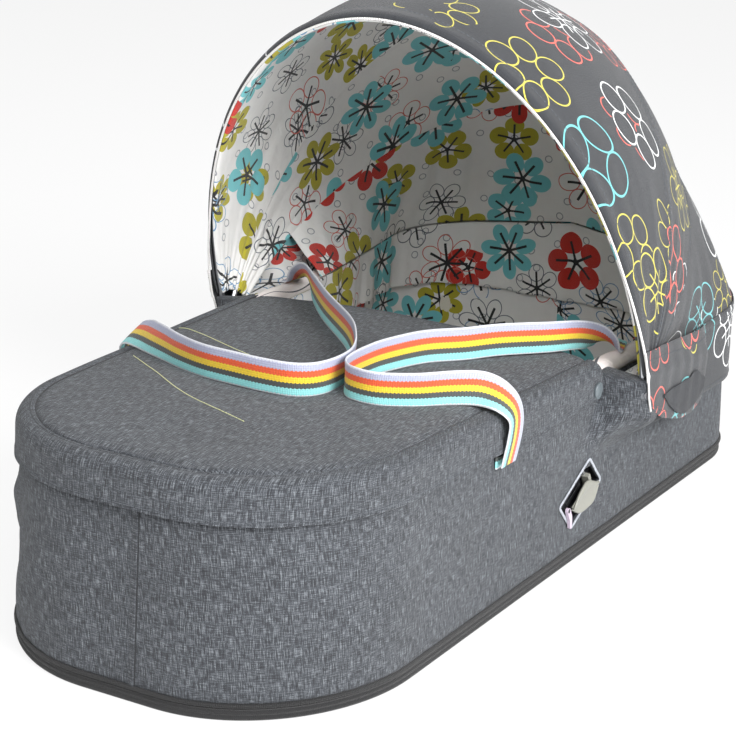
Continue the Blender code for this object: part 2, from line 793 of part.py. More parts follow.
def skirt_hem(share):
    """The hem falls steeply behind the hinge and then follows the wall."""
    drop = min(1, share / SKIRT_FALL_share)
    side = SKIRT_HEM_FRONT + (SKIRT_HEM_SIDE - SKIRT_HEM_FRONT) * math.sin(drop * math.pi / 2)
    return side + (SKIRT_HEM_REAR - SKIRT_HEM_SIDE) * share


def rear_shares(path):
    """For each point of a run round the head end, the share of the way from its nearer end."""
    lengths = [0.0]
    for before, after in zip(path, path[1:]):
        lengths.append(lengths[-1] + (after - before).length)
    half = lengths[-1] / 2
    return [min(length, lengths[-1] - length) / half for length in lengths]


def head_row(offset, height):
    """A row of points round the head end; the height is a function of the share of the way."""
    flat = head_run(offset)
    row = []
    for index, share in enumerate(rear_shares(flat)):
        z = height(share)
        place = head_run(offset + lean(z, flat[index].y))[index]
        row.append(Vector((place.x, place.y, z)))
    return row


def make_hood_skirt():
    rows = []
    for step in range(SKIRT_ROWS + 1):
        down = 1 - step / SKIRT_ROWS
        rows.append(head_row(SKIRT_STANDOFF, lambda s: skirt_top(s) + (skirt_hem(s) - skirt_top(s)) * down))
    sheet("hood_skirt", rows, HOOD_CLOTH, -1, SLATE_CLOTH)
    hoop = head_row(SKIRT_STANDOFF + HOOD_CLOTH / 2, lambda s: skirt_top(s) + GAP + HOOP_RADIUS)
    tube("rear_hoop", hoop, HOOP_RADIUS, STEEL)


def resampled(points, shares):
    """Points at shares of a polyline's length."""
    lengths = [0.0]
    for before, after in zip(points, points[1:]):
        lengths.append(lengths[-1] + (after - before).length)
    found = []
    for share in shares:
        target = share * lengths[-1]
        index = 0
        while index < len(points) - 2 and lengths[index + 1] < target:
            index += 1
        step = lengths[index + 1] - lengths[index]
        found.append(points[index].lerp(points[index + 1], (target - lengths[index]) / step))
    return found


def polyline_shares(points):
    lengths = [0.0]
    for before, after in zip(points, points[1:]):
        lengths.append(lengths[-1] + (after - before).length)
    return [length / lengths[-1] for length in lengths]


def rear_rows(upper, lower, bulge, steps):
    rows = []
    for step in range(steps + 1):
        share = step / steps
        row = []
        for high, low in zip(upper, lower):
            place = high.lerp(low, share)
            rise = (high.z - low.z) * BULGE_UP_share
            away = Vector((place.x * BULGE_SIDE_share, place.y - HINGE_Y, rise))
            height = min(1, (high - low).length / BULGE_FULL_SPAN)
            row.append(place + away.normalized() * bulge * math.sin(math.pi * share) * height)
        rows.append(row)
    return rows


def make_rear_panels():
    level, height, tilt = BOWS["rear"]
    angles = bow_angles(HOOD_REACH, height)
    behind = tilt - math.degrees(math.asin(SOFT_GAP / HOOD_REACH))
    upper = [bow_point(a, level, height, behind, HOOD_STANDOFF) for a in angles]
    rim = head_row(SKIRT_STANDOFF, lambda s: skirt_top(s) + 2 * HOOP_RADIUS + REAR_EDGE_GAP)[::-1]
    lower = resampled(rim, polyline_shares(upper))
    outer = sheet("canopy_rear", rear_rows(upper, lower, REAR_BULGE, PANEL_STEPS), HOOD_CLOTH, -1, SLATE_CLOTH)

    angles = bow_angles(REAR_LINING_REACH, height)
    upper = [bow_point(a, level, height, behind, -HOOD_STANDOFF) for a in angles]
    path = curtain_line(curtain_top)[::-1]
    lower = resampled(path, polyline_shares(upper))
    lower = [Vector((p.x, p.y, p.z + 4 * GAP)) for p in lower]
    inner = sheet("hood_lining_rear", rear_rows(upper, lower, REAR_BULGE / 2, PANEL_STEPS),
                  HOOD_CLOTH, 1, WHITE_CLOTH)
    return [outer, inner]


def curtain_top(share):
    roll_top = RIM_HEIGHT_HEAD + GAP
    return roll_top + (CURTAIN_TOP_REAR - roll_top) * share ** CURTAIN_RISE_POWER


def curtain_line(height):
    """A line of the gathered lining, inside the rim round the head end."""
    return [place for place in head_row(-CURTAIN_INSET, height) if place.y > CURTAIN_START_Y]


def make_curtain():
    steps = CURTAIN_FOLDS * FOLD_STEPS
    shares = [step / steps for step in range(steps + 1)]
    top = resampled(curtain_line(curtain_top), shares)
    bottom = resampled(curtain_line(lambda s: CURTAIN_BOTTOM), shares)
    rows = []
    for down in (0, 0.5, 1):
        row = []
        for index in range(steps + 1):
            place = top[index].lerp(bottom[index], down)
            last = min(index + 1, steps)
            along = (top[last] - top[last - 1]).normalized()
            out = Vector((-along.y, along.x, 0)).normalized()
            depth = FOLD_AT_TOP_share + (1 - FOLD_AT_TOP_share) * down
            fold = CURTAIN_FOLD * math.sin(TAU * index / FOLD_STEPS) * depth
            row.append(place + out * fold)
        rows.append(row)
    sheet("hood_curtain", rows, LINING_CLOTH, 0, WHITE_CLOTH)


def make_trim():
    """Binding wrapped round the front bow's wire, open to the rear."""
    level, height, tilt = BOWS["front"]
    angles = bow_angles(TRIM_REACH, height)
    line = [bow_point(a, level, height, tilt) for a in angles]
    radius = BOW_WIRE_RADIUS + SOFT_GAP + TRIM_CLOTH
    lean_out = math.radians(tilt)
    forward = Vector((0, -math.cos(lean_out), -math.sin(lean_out)))
    rows = []
    for step in range(TRIM_STEPS + 1):
        wrap = math.radians(TRIM_WRAP_DEG * (2 * step / TRIM_STEPS - 1))
        row = []
        for index, place in enumerate(line):
            before = line[max(index - 1, 0)]
            after = line[min(index + 1, len(line) - 1)]
            away = forward.cross(after - before).normalized()
            if away.dot(Vector((place.x, 0, place.z - HINGE_HEIGHT))) < 0:
                away = -away
            row.append(place + forward * radius * math.cos(wrap) + away * radius * math.sin(wrap))
        rows.append(row)
    return sheet("mouth_binding", rows, TRIM_CLOTH, 1, WHITE_CLOTH)


def make_hinges():
    for side, word in ((1, "right"), (-1, "left")):
        middle = HINGE_HEIGHT - BRACKET_HEIGHT / 4
        wall = wall_frame(HINGE_Y, middle, side)
        plate_frame = placed(wall, 0, 0, GAP + BRACKET_THICKNESS / 2)
        base = box("plate", (BRACKET_LENGTH, BRACKET_HEIGHT, BRACKET_THICKNESS), plate_frame,
                   BLACK_PLASTIC, BRACKET_CORNER)
        inner = (HINGE_HALF_WIDTH - 2.5 * BOW_PITCH) * side
        root = wall.translation.x + (GAP + BRACKET_THICKNESS) * side
        boss = cylinder("boss", BOSS_RADIUS, (root, HINGE_Y, HINGE_HEIGHT), (inner, HINGE_Y, HINGE_HEIGHT),
                        BLACK_PLASTIC)
        bracket = joined("hinge_bracket_" + word, [base, boss], BLACK_PLASTIC)
        floor = inner - BORE_DEPTH * side
        bore = cylinder("bracket_cutter_" + word, PIN_RADIUS + PIN_CLEARANCE,
                        (floor, HINGE_Y, HINGE_HEIGHT), (inner + OVERRUN * side, HINGE_Y, HINGE_HEIGHT), None)
        boolean(bracket, as_cutter(keep(bore, bore.name, None, CUTTERS)), "DIFFERENCE")
        face = (HINGE_HALF_WIDTH + BOW_PITCH / 2 + GAP) * side
        stem = cylinder("stem", PIN_RADIUS, (floor + GAP * side, HINGE_Y, HINGE_HEIGHT),
                        (face + PIN_HEAD / 2 * side, HINGE_Y, HINGE_HEIGHT), STEEL)
        head = cylinder("head", PIN_HEAD_RADIUS, (face, HINGE_Y, HINGE_HEIGHT),
                        (face + PIN_HEAD * side, HINGE_Y, HINGE_HEIGHT), STEEL)
        joined("hinge_pin_" + word, [stem, head], STEEL)
        for step, end in ((-side, "front"), (side, "back")):
            spot = placed(wall, step * (BRACKET_LENGTH / 2 - BRACKET_CORNER), BRACKET_CORNER - BRACKET_HEIGHT / 2,
                          BRACKET_THICKNESS + 2 * GAP)
            top = spot.translation + spot.col[2].xyz * RIVET_HEAD
            cylinder("bracket_rivet_%s_%s" % (word, end), RIVET_RADIUS, spot.translation, top, STEEL, RIVET_SIDES)


def make_flaps():
    for side, word in ((1, "right"), (-1, "left")):
        rows = []
        for row in range(3):
            line = []
            for step in range(FLAP_STEPS + 1):
                share = step / FLAP_STEPS
                y = FLAP_FRONT_Y + (FLAP_BACK_Y - FLAP_FRONT_Y) * share
                top = FLAP_TOP_FRONT + (FLAP_TOP_BACK - FLAP_TOP_FRONT) * share
                swell = math.sin(math.pi * min(1, share + FLAP_ROUND_share))
                drop = FLAP_DROP * (FLAP_FRONT_DROP_share + (1 - FLAP_FRONT_DROP_share) * swell)
                z = top - drop * row / 2
                offset = SKIRT_STANDOFF + HOOD_CLOTH + SOFT_GAP + lean(z, y)
                line.append(Vector((half_width_at(y, offset) * side, y, z)))
            rows.append(line)
        sheet("hem_flap_" + word, rows, HOOD_CLOTH, -side, SLATE_CLOTH)


# The clips in the side walls


def housing_size():
    length = SLIT_LENGTH + SLIT_SKEW + 2 * (POCKET_MARGIN + HOUSING_WALL)
    return length, SLIT_HEIGHT + 2 * (POCKET_MARGIN + HOUSING_WALL)


def hook_outline(side):
    """The hook in its own plane: an eye at zero, an arm down and a pointed prong turned to the foot."""
    half = HOOK_WIDTH / 2
    points = []
    for step in range(ARC_STEPS + 1):
        angle = math.pi * step / ARC_STEPS
        points.append((half * math.cos(angle), half * math.sin(angle)))
    points.append((-half, -HOOK_LENGTH * 0.55))
    points.append((-half * 1.8, -HOOK_LENGTH * 0.92))
    points.append((-half * 1.1, -HOOK_LENGTH))
    points.append((half * 0.2, -HOOK_LENGTH * 0.75))
    points.append((half, -HOOK_LENGTH * 0.45))
    return [(x * side, y) for x, y in points]


def make_clip(side, word):
    """A housing behind the slit, its lever and leaf spring, and a hook on a post that stands in the slit."""
    frame = clip_frame(side)
    face = -COVER_CLOTH - SOFT_GAP
    length, height = housing_size()
    depth = HOUSING_DEPTH - HOUSING_FLOOR
    floor = face - depth
    body = box("housing", (length, height, HOUSING_DEPTH), placed(frame, 0, 0, face - HOUSING_DEPTH / 2),
               BLACK_PLASTIC, HOUSING_WALL)
    pocket = box("pocket_cutter_" + word, (length - 2 * HOUSING_WALL, height - 2 * HOUSING_WALL, depth + OVERRUN),
                 placed(frame, 0, 0, face - depth + (depth + OVERRUN) / 2), None)
    boolean(body, as_cutter(keep(pocket, pocket.name, None, CUTTERS)), "DIFFERENCE")
    hook_base = GAP + BINDING_CLOTH + SOFT_GAP
    hook_top = hook_base + HOOK_THICKNESS
    post_frame = placed(frame, -HOOK_ALONG * side, HOOK_OFFSET, 0)
    post = cylinder("post", HOOK_PIN_RADIUS, placed(post_frame, 0, 0, floor - HOUSING_FLOOR / 2).translation,
                    placed(post_frame, 0, 0, hook_top).translation, BLACK_PLASTIC, PIN_SIDES)
    joined("clip_housing_" + word, [body, post], BLACK_PLASTIC)

    level = face - GAP - LEVER_BARREL
    pivot = placed(frame, LEVER_LENGTH * LEVER_PIVOT_share * side, 0, level)
    reach = height / 2 - HOUSING_WALL - GAP
    cylinder("lever_pin_" + word, CLIP_PIN_RADIUS, placed(pivot, 0, -reach, 0).translation,
             placed(pivot, 0, reach, 0).translation, STEEL, PIN_SIDES)
    paddle = box("paddle", (LEVER_LENGTH, LEVER_WIDTH, LEVER_THICKNESS),
                 placed(pivot, -LEVER_LENGTH / 2 * side, LEVER_OFFSET, 0), GREY_PLASTIC, LEVER_CORNER)
    half = LEVER_WIDTH / 2
    barrel = cylinder("barrel", LEVER_BARREL, placed(pivot, 0, LEVER_OFFSET - half, 0).translation,
                      placed(pivot, 0, LEVER_OFFSET + half, 0).translation, GREY_PLASTIC, PIN_SIDES)
    lever = joined("clip_lever_" + word, [paddle, barrel], GREY_PLASTIC)
    bore = cylinder("lever_cutter_" + word, CLIP_PIN_RADIUS + PIN_CLEARANCE,
                    placed(pivot, 0, LEVER_OFFSET - LEVER_WIDTH, 0).translation,
                    placed(pivot, 0, LEVER_OFFSET + LEVER_WIDTH, 0).translation, None, PIN_SIDES)
    boolean(lever, as_cutter(keep(bore, bore.name, None, CUTTERS)), "DIFFERENCE")
    hang("lever_pivot_" + word, pivot.translation, [lever])

    hook = plate("clip_hook_" + word, hook_outline(side), hook_base, HOOK_THICKNESS, MAUVE_PLASTIC)
    hook.matrix_world = placed(post_frame, 0, 0, hook_base + HOOK_THICKNESS / 2)
    bore = cylinder("hook_cutter_" + word, HOOK_PIN_RADIUS + PIN_CLEARANCE,
                    placed(post_frame, 0, 0, hook_base - OVERRUN).translation,
                    placed(post_frame, 0, 0, hook_top + OVERRUN).translation, None, PIN_SIDES)
    boolean(hook, as_cutter(keep(bore, bore.name, None, CUTTERS)), "DIFFERENCE")
    hang("hook_pivot_" + word, post_frame.translation, [hook])

    rows = []
    for row in (-1, 1):
        line = []
        for step in range(ARC_STEPS + 1):
            share = step / ARC_STEPS
            place = (-(2 * LEVER_BARREL + SPRING_LENGTH * share) * side, LEVER_OFFSET + SPRING_WIDTH / 2 * row,
                     floor - level + GAP + SPRING_ARCH * math.sin(math.pi * share))
            line.append(placed(pivot, *place).translation)
        rows.append(line)
    sheet("clip_spring_" + word, rows, SPRING_THICKNESS, -side, STEEL)

    ring_frame = placed(frame, 0, 0, GAP + BINDING_CLOTH / 2)
    edge = prism("slit_binding_" + word, slit_points(BINDING_WIDTH), BINDING_CLOTH, ring_frame, side, BINDING)
    hole = prism("binding_cutter_" + word, slit_points(0), 2 * OVERRUN, frame, side, None, CUTTERS)
    boolean(edge, as_cutter(hole), "DIFFERENCE")


# The carry straps


RIGHT_ROUTE_shares = [
    (0.961, -0.315, -1.62, 0.00, 1.00, 0.00),
    (0.982, -0.312, -0.70, 0.00, 1.00, 0.05),
    (0.984, -0.318, -0.05, -0.05, 0.97, 0.20),
    (0.944, -0.332, 0.36, 0.10, 0.85, 0.45),
    (0.852, -0.345, 0.55, 0.15, 0.50, 0.85),
    (0.752, -0.380, 0.55, 0.05, 0.20, 0.98),
    (0.636, -0.442, 0.53, 0.00, 0.00, 1.00),
    (0.502, -0.487, 0.53, 0.00, -0.05, 1.00),
    (0.380, -0.487, 0.53, 0.00, 0.00, 1.00),
    (0.315, -0.460, 0.53, 0.00, 0.00, 1.00),
    (0.290, -0.420, 0.53, 0.00, 0.00, 1.00),
    (0.288, -0.360, 0.53, -0.05, 0.00, 1.00),
    (0.305, -0.290, 0.53, -0.10, 0.05, 1.00),
    (0.375, -0.185, 0.53, -0.15, 0.10, 1.00),
    (0.496, -0.107, 0.54, -0.15, 0.10, 1.00),
    (0.600, -0.040, 0.60, -0.10, 0.05, 1.00),
    (0.750, 0.055, 0.60, -0.05, -0.10, 1.00),
    (0.840, 0.140, 0.52, 0.00, -0.40, 0.90),
    (0.899, 0.205, 0.25, 0.05, -0.85, 0.45),
    (0.933, 0.238, 0.04, 0.05, -1.00, 0.08),
    (0.973, 0.245, -0.04, 0.00, -1.00, 0.00),
]
LEFT_ROUTE_shares = [
    (-0.953, -0.365, -1.62, 0.00, 1.00, 0.00),
    (-0.972, -0.360, -0.70, 0.00, 1.00, 0.05),
    (-0.966, -0.365, -0.05, 0.05, 0.97, 0.20),
    (-0.910, -0.382, 0.28, -0.10, 0.90, 0.35),
    (-0.808, -0.413, 0.42, -0.10, 0.75, 0.60),
    (-0.697, -0.450, 0.50, -0.05, 0.50, 0.85),
    (-0.582, -0.482, 0.53, 0.00, 0.25, 0.97),
    (-0.458, -0.513, 0.53, 0.00, 0.10, 1.00),
    (-0.290, -0.542, 0.53, 0.00, 0.00, 1.00),
    (-0.111, -0.552, 0.53, 0.00, 0.00, 1.00),
    (0.030, -0.555, 0.53, 0.00, 0.00, 1.00),
    (0.150, -0.548, 0.53, 0.00, 0.00, 1.00),
    (0.224, -0.525, 0.53, 0.00, 0.00, 1.00),
    (0.259, -0.485, 0.53, 0.00, 0.00, 1.00),
    (0.261, -0.430, 0.53, 0.05, 0.00, 1.00),
    (0.234, -0.370, 0.53, 0.05, 0.00, 1.00),
    (0.140, -0.290, 0.53, 0.10, 0.05, 1.00),
    (-0.012, -0.195, 0.54, 0.10, 0.10, 1.00),
    (-0.329, -0.045, 0.55, 0.10, 0.00, 1.00),
    (-0.572, 0.090, 0.53, 0.05, -0.10, 1.00),
    (-0.758, 0.200, 0.48, 0.00, -0.45, 0.85),
    (-0.864, 0.255, 0.25, -0.05, -0.85, 0.45),
    (-0.926, 0.274, 0.01, -0.05, -1.00, 0.05),
    (-0.973, 0.278, -0.04, 0.00, -1.00, 0.00),
]


def eased(before, start, end, after, share):
    """A point between two places of a smooth curve through four."""
    square = share * share
    cube = square * share
    return 0.5 * (2 * start + (end - before) * share + (2 * before - 5 * start + 4 * end - after) * square
                  + (3 * start - before - 3 * end + after) * cube)


def make_strap(word, route_shares, side):
    centres = []
    edges = []
    for x, y, lift, across, along, up in route_shares:
        place = Vector((x * HALF_WIDTH, y * HALF_LENGTH, 0))
        place.z = apron_surface(place.x, place.y) + lift * WEBBING_WIDTH
        centres.append(place)
        edges.append(Vector((across, along, up)))
    last = len(centres) - 1
    line = []
    for index in range(last):
        around = [max(index - 1, 0), index, index + 1, min(index + 2, last)]
        for step in range(STRAP_STEPS):
            share = step / STRAP_STEPS
            line.append((eased(*[centres[i] for i in around], share), eased(*[edges[i] for i in around], share)))
    line.append((centres[-1], edges[-1]))
    rows = [[], [], []]
    for index, (centre, edge) in enumerate(line):
        before = line[max(index - 1, 0)][0]
        after = line[min(index + 1, len(line) - 1)][0]
        path = (after - before).normalized()
        edge = (edge - path * edge.dot(path)).normalized() * WEBBING_WIDTH / 2
        for row, share in zip(rows, (-1, 0, 1)):
            row.append(centre + edge * share)
    strap = sheet("carry_strap_" + word, rows, WEBBING, 0, WEBBING_STRIPES)
    hang("strap_pivot_" + word, strap_axis(side), [strap])
    return centres[0]


def strap_axis(side):
    """A place on the line along the rim about which a strap lifts."""
    reach = half_width_at(0, lean(roll_height(0), 0) + ROLL_OFFSET)
    return Vector((reach * side, 0, roll_height(0)))


def make_anchor(word, end, side):
    """The sewn tab under the apron's skirt that holds the strap's foot end."""
    z = end.z - WEBBING_WIDTH * ANCHOR_DROP_share
    wall = wall_frame(end.y, z + ANCHOR_HEIGHT / 2, side)
    frame = placed(wall, 0, 0, SOFT_GAP + ANCHOR_THICKNESS / 2)
    box("strap_anchor_" + word, (WEBBING_WIDTH, ANCHOR_HEIGHT, ANCHOR_THICKNESS), frame, WEBBING_STRIPES)


def hang(name, place, items):
    """Parents pieces that move together to an empty on their joint's axis."""
    bpy.context.view_layer.update()
    axis = bpy.data.objects.new(name, None)
    axis.location = place
    PARTS.objects.link(axis)
    bpy.context.view_layer.update()
    for item in items:
        item.parent = axis
        item.matrix_parent_inverse = axis.matrix_world.inverted()


def make_hood():
    pieces = []
    for key in BOWS:
        pieces.append(make_bow(key))
    pieces += make_hood_panels()
    pieces += make_rear_panels()
    pieces.append(make_trim())
    hang("hood_axis", (0, HINGE_Y, HINGE_HEIGHT), pieces)


make_bottom()
make_wall()
make_rim()
make_mattress()
make_apron()
make_snaps()
make_hood()
make_hood_skirt()
make_curtain()
make_hinges()
make_flaps()
for side, word, route in ((1, "right", RIGHT_ROUTE_shares), (-1, "left", LEFT_ROUTE_shares)):
    make_clip(side, word)
    foot_end = make_strap(word, route, side)
    make_anchor(word, foot_end, side)
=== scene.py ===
"""A pushchair's soft carrycot, dressed in its cloth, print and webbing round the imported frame.

+X is the cot's right side, +Y runs to the head end under the hood, +Z is up. Lengths are metres.
"""

import math

import bmesh
import bpy
import numpy as np
from mathutils import Matrix, Vector, noise


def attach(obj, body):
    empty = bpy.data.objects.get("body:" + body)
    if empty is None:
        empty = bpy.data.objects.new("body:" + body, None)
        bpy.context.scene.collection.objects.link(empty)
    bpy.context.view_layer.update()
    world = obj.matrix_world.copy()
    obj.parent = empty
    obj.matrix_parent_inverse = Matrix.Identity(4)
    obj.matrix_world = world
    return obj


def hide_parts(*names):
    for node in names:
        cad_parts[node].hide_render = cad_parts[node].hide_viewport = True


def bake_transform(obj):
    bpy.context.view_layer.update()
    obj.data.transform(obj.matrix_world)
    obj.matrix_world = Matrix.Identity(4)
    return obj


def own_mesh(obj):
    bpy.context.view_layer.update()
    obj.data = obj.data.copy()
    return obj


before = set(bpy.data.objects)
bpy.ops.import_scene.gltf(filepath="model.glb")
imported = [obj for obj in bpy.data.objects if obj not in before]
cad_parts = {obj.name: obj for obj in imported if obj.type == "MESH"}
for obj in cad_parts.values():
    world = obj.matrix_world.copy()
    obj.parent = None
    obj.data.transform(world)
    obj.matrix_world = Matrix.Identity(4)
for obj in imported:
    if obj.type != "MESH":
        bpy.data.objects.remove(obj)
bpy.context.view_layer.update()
MM = 0.001
TAU = 2 * math.pi
SIDES = ((1, "right"), (-1, "left"))

# The outer cover: mottled grey woven cloth over a padded wall, sewn to one vertical seam at the
# foot end. It stands on a flat base, leans in a little to the rim, and its spare cloth falls in
# soft upright drapes.
TUB_LENGTH = 0.800
TUB_WIDTH = 0.346
WIDENING = 0.12
FOOT_CORNER = 0.138
HEAD_CORNER = 0.100
RIM_HEIGHT_FOOT = 0.176
RIM_HEIGHT_HEAD = 0.152
WALL_LEAN = -7 * MM
SKIRT_Y = 0.078
APRON_EDGE_Y = 0.040
HALF_LENGTH = TUB_LENGTH / 2
HALF_WIDTH = TUB_WIDTH / 2
COVER_CLOTH = 1.6 * MM
COVER_LOW = 12.2 * MM
COVER_TOP_DROP = 16 * MM
COVER_ROWS = 26
OUTLINE_STEPS = {"head": 6, "head_arc": 22, "side_head": 22, "side_hood": 4, "side_foot": 30,
                 "foot_arc": 30, "foot": 6}
SKIRT_INDEX = OUTLINE_STEPS["head"] + OUTLINE_STEPS["head_arc"] + OUTLINE_STEPS["side_head"]
APRON_INDEX = SKIRT_INDEX + OUTLINE_STEPS["side_hood"]


def widening(y):
    return 1 + WIDENING * y / HALF_LENGTH


def half_outline(offset):
    """The right half of the cot's outline from the head end's middle to the foot end's."""
    points = []

    def run(start, end, part, out):
        steps = OUTLINE_STEPS[part]
        for step in range(steps):
            points.append((Vector(start).lerp(Vector(end), step / steps), Vector(out)))

    def arc(centre, radius, first, last, part):
        steps = OUTLINE_STEPS[part]
        for step in range(steps):
            angle = math.radians(first + (last - first) * step / steps)
            out = Vector((math.cos(angle), math.sin(angle)))
            points.append((Vector(centre) + out * radius, out))

    head = (HALF_WIDTH - HEAD_CORNER, HALF_LENGTH - HEAD_CORNER)
    foot = (HALF_WIDTH - FOOT_CORNER, FOOT_CORNER - HALF_LENGTH)
    run((0, HALF_LENGTH), (head[0], HALF_LENGTH), "head", (0, 1))
    arc(head, HEAD_CORNER, 90, 0, "head_arc")
    run((HALF_WIDTH, head[1]), (HALF_WIDTH, SKIRT_Y), "side_head", (1, 0))
    run((HALF_WIDTH, SKIRT_Y), (HALF_WIDTH, APRON_EDGE_Y), "side_hood", (1, 0))
    run((HALF_WIDTH, APRON_EDGE_Y), (HALF_WIDTH, foot[1]), "side_foot", (1, 0))
    arc(foot, FOOT_CORNER, 0, -90, "foot_arc")
    run((foot[0], -HALF_LENGTH), (0, -HALF_LENGTH), "foot", (0, -1))
    points.append((Vector((0, -HALF_LENGTH)), Vector((0, -1))))
    return [Vector((point.x * widening(point.y), point.y)) + out * offset for point, out in points]


def mirrored(points):
    return [Vector((-point.x, *point[1:])) for point in points]


def ring(offset):
    half = half_outline(offset)
    return half + mirrored(half[-2:0:-1])


def foot_run(offset):
    half = half_outline(offset)[APRON_INDEX:]
    return half + mirrored(half[-2::-1])


def head_run(offset):
    half = half_outline(offset)[:SKIRT_INDEX + 1]
    return mirrored(half[:0:-1]) + half


def rim_height(y):
    share = (y + HALF_LENGTH) / TUB_LENGTH
    return RIM_HEIGHT_FOOT + (RIM_HEIGHT_HEAD - RIM_HEIGHT_FOOT) * share


def lean(z, y):
    return WALL_LEAN * z / rim_height(y)


def leaning_row(path, offset, height):
    """Points along an outline at a height that may be a function of the place's index and y."""
    plain = path(offset)
    outer = path(offset + MM)
    row = []
    for index, (point, further) in enumerate(zip(plain, outer)):
        z = height(index, point.y) if callable(height) else height
        out = (further - point) / MM
        row.append((*(point + out * lean(z, point.y)), z))
    return row


def half_width_at(y, offset):
    for corner, end in ((HEAD_CORNER, 1), (FOOT_CORNER, -1)):
        past = y * end - HALF_LENGTH + corner
        if past > 0:
            rise = min(past / (corner + offset), 1)
            across = math.sqrt(1 - rise * rise)
            plain = HALF_WIDTH - corner + corner * across
            place = (HALF_LENGTH - corner + corner * rise) * end
            return plain * widening(place) + offset * across
    return HALF_WIDTH * widening(y) + offset


def normals(grid, closed):
    """The unit normal at each point of a grid: across its columns, crossed with down its rows."""
    if closed:
        along = np.roll(grid, -1, axis=1) - np.roll(grid, 1, axis=1)
    else:
        along = np.gradient(grid, axis=1)
    down = np.gradient(grid, axis=0)
    face = np.cross(along, down)
    return face / np.maximum(np.linalg.norm(face, axis=2, keepdims=True), 1e-9)


def rippled(grid, height, closed=False, out=1):
    """The grid moved outwards by height(row share, column share, place).

    out is -1 where the grid's normals face inwards.
    """
    grid = np.array(grid, float)
    rows, columns = grid.shape[:2]
    lift = np.zeros((rows, columns, 1))
    for r in range(rows):
        for c in range(columns):
            lift[r, c, 0] = height(r / (rows - 1), c / max(columns - 1, 1), grid[r, c])
    return grid + normals(grid, closed) * lift * out


def unit(value):
    return min(1.0, max(0.0, value))


def eased(value):
    """A soft rise from 0 to 1."""
    return unit(value) ** 2 * (3 - 2 * unit(value))


def wave(place, size, seed):
    """Smooth noise from -1 to 1 with features of a size."""
    return noise.noise(Vector(place) / size + Vector((seed, seed * 0.7, -seed)))


def cloth_lengths(grid, closed):
    """Each point's cloth lengths: across from the middle column and down from row 0."""
    if closed:
        grid = np.hstack([grid, grid[:, :1]])
    steps = np.linalg.norm(np.diff(grid, axis=1), axis=2)
    across = np.concatenate([np.zeros((len(grid), 1)), np.cumsum(steps, axis=1)], axis=1)
    if not closed:
        across -= across[:, [grid.shape[1] // 2]]
    falls = np.linalg.norm(np.diff(grid, axis=0), axis=2)
    down = np.concatenate([np.zeros((1, grid.shape[1])), np.cumsum(falls, axis=0)], axis=0)
    return across, down


def linked(name, data):
    """A new object of the data, put in the scene."""
    item = bpy.data.objects.new(name, data)
    bpy.context.scene.collection.objects.link(item)
    return item


def cut_cloth(name, grid, material, thickness=0.0, side=-1, closed=False, smooth_levels=1,
              flat=None, shift=0.0):
    """Cloth through a grid of points, with its flat lengths in metres in the UV map named cloth."""
    grid = np.array(grid, float)
    rows, columns = grid.shape[:2]
    across, down = cloth_lengths(grid, closed) if flat is None else flat
    mesh = bpy.data.meshes.new(name)
    faces = []
    lengths = []
    for r in range(rows - 1):
        for c in range(columns if closed else columns - 1):
            ahead = (c + 1) % columns
            faces.append((r * columns + c, r * columns + ahead, (r + 1) * columns + ahead,
                          (r + 1) * columns + c))
            for row, column in ((r, c), (r, c + 1), (r + 1, c + 1), (r + 1, c)):
                lengths.append((across[row, column] + shift, down[row, column] + shift))
    mesh.from_pydata([tuple(p) for p in grid.reshape(-1, 3)], [], faces)
    lay = mesh.uv_layers.new(name="cloth")
    lay.data.foreach_set("uv", np.array(lengths, np.float32).ravel())
    mesh.materials.append(material)
    mesh.shade_smooth()
    piece = linked(name, mesh)
    if thickness:
        skin = piece.modifiers.new("thickness", "SOLIDIFY")
        skin.thickness = thickness
        skin.offset = side
    if smooth_levels:
        round_off = piece.modifiers.new("soft", "SUBSURF")
        round_off.levels = smooth_levels
        round_off.render_levels = smooth_levels
    return piece


def belongs(piece, body, slot, *nodes):
    """The piece rides on a body and stands for the CAD nodes named, which are hidden; slot is not
    used.
    """
    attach(piece, body)
    if nodes:
        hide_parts(*nodes)


def flat_size(grid):
    """The cut size of the cloth in a grid: its length across and down, at their middles."""
    grid = np.array(grid, float)
    across = np.linalg.norm(np.diff(grid[len(grid) // 2], axis=0), axis=1).sum()
    down = np.linalg.norm(np.diff(grid[:, grid.shape[1] // 2], axis=0), axis=1).sum()
    return float(across), float(down)


def declare_cloth(piece, grid, rests_on):
    """Works out the flat size and area of the cloth in a grid, and keeps neither."""
    grid = np.array(grid, float)
    width, length = flat_size(grid)
    one = np.cross(grid[1:, :-1] - grid[:-1, :-1], grid[:-1, 1:] - grid[:-1, :-1])
    two = np.cross(grid[1:, :-1] - grid[1:, 1:], grid[:-1, 1:] - grid[1:, 1:])
    area = (np.linalg.norm(one, axis=2) + np.linalg.norm(two, axis=2)).sum() / 2


def baked(piece):
    """The piece as a plain mesh, with its modifiers applied."""
    graph = bpy.context.evaluated_depsgraph_get()
    graph.update()
    mesh = bpy.data.meshes.new_from_object(piece.evaluated_get(graph))
    piece.modifiers.clear()
    piece.data = mesh
    return piece


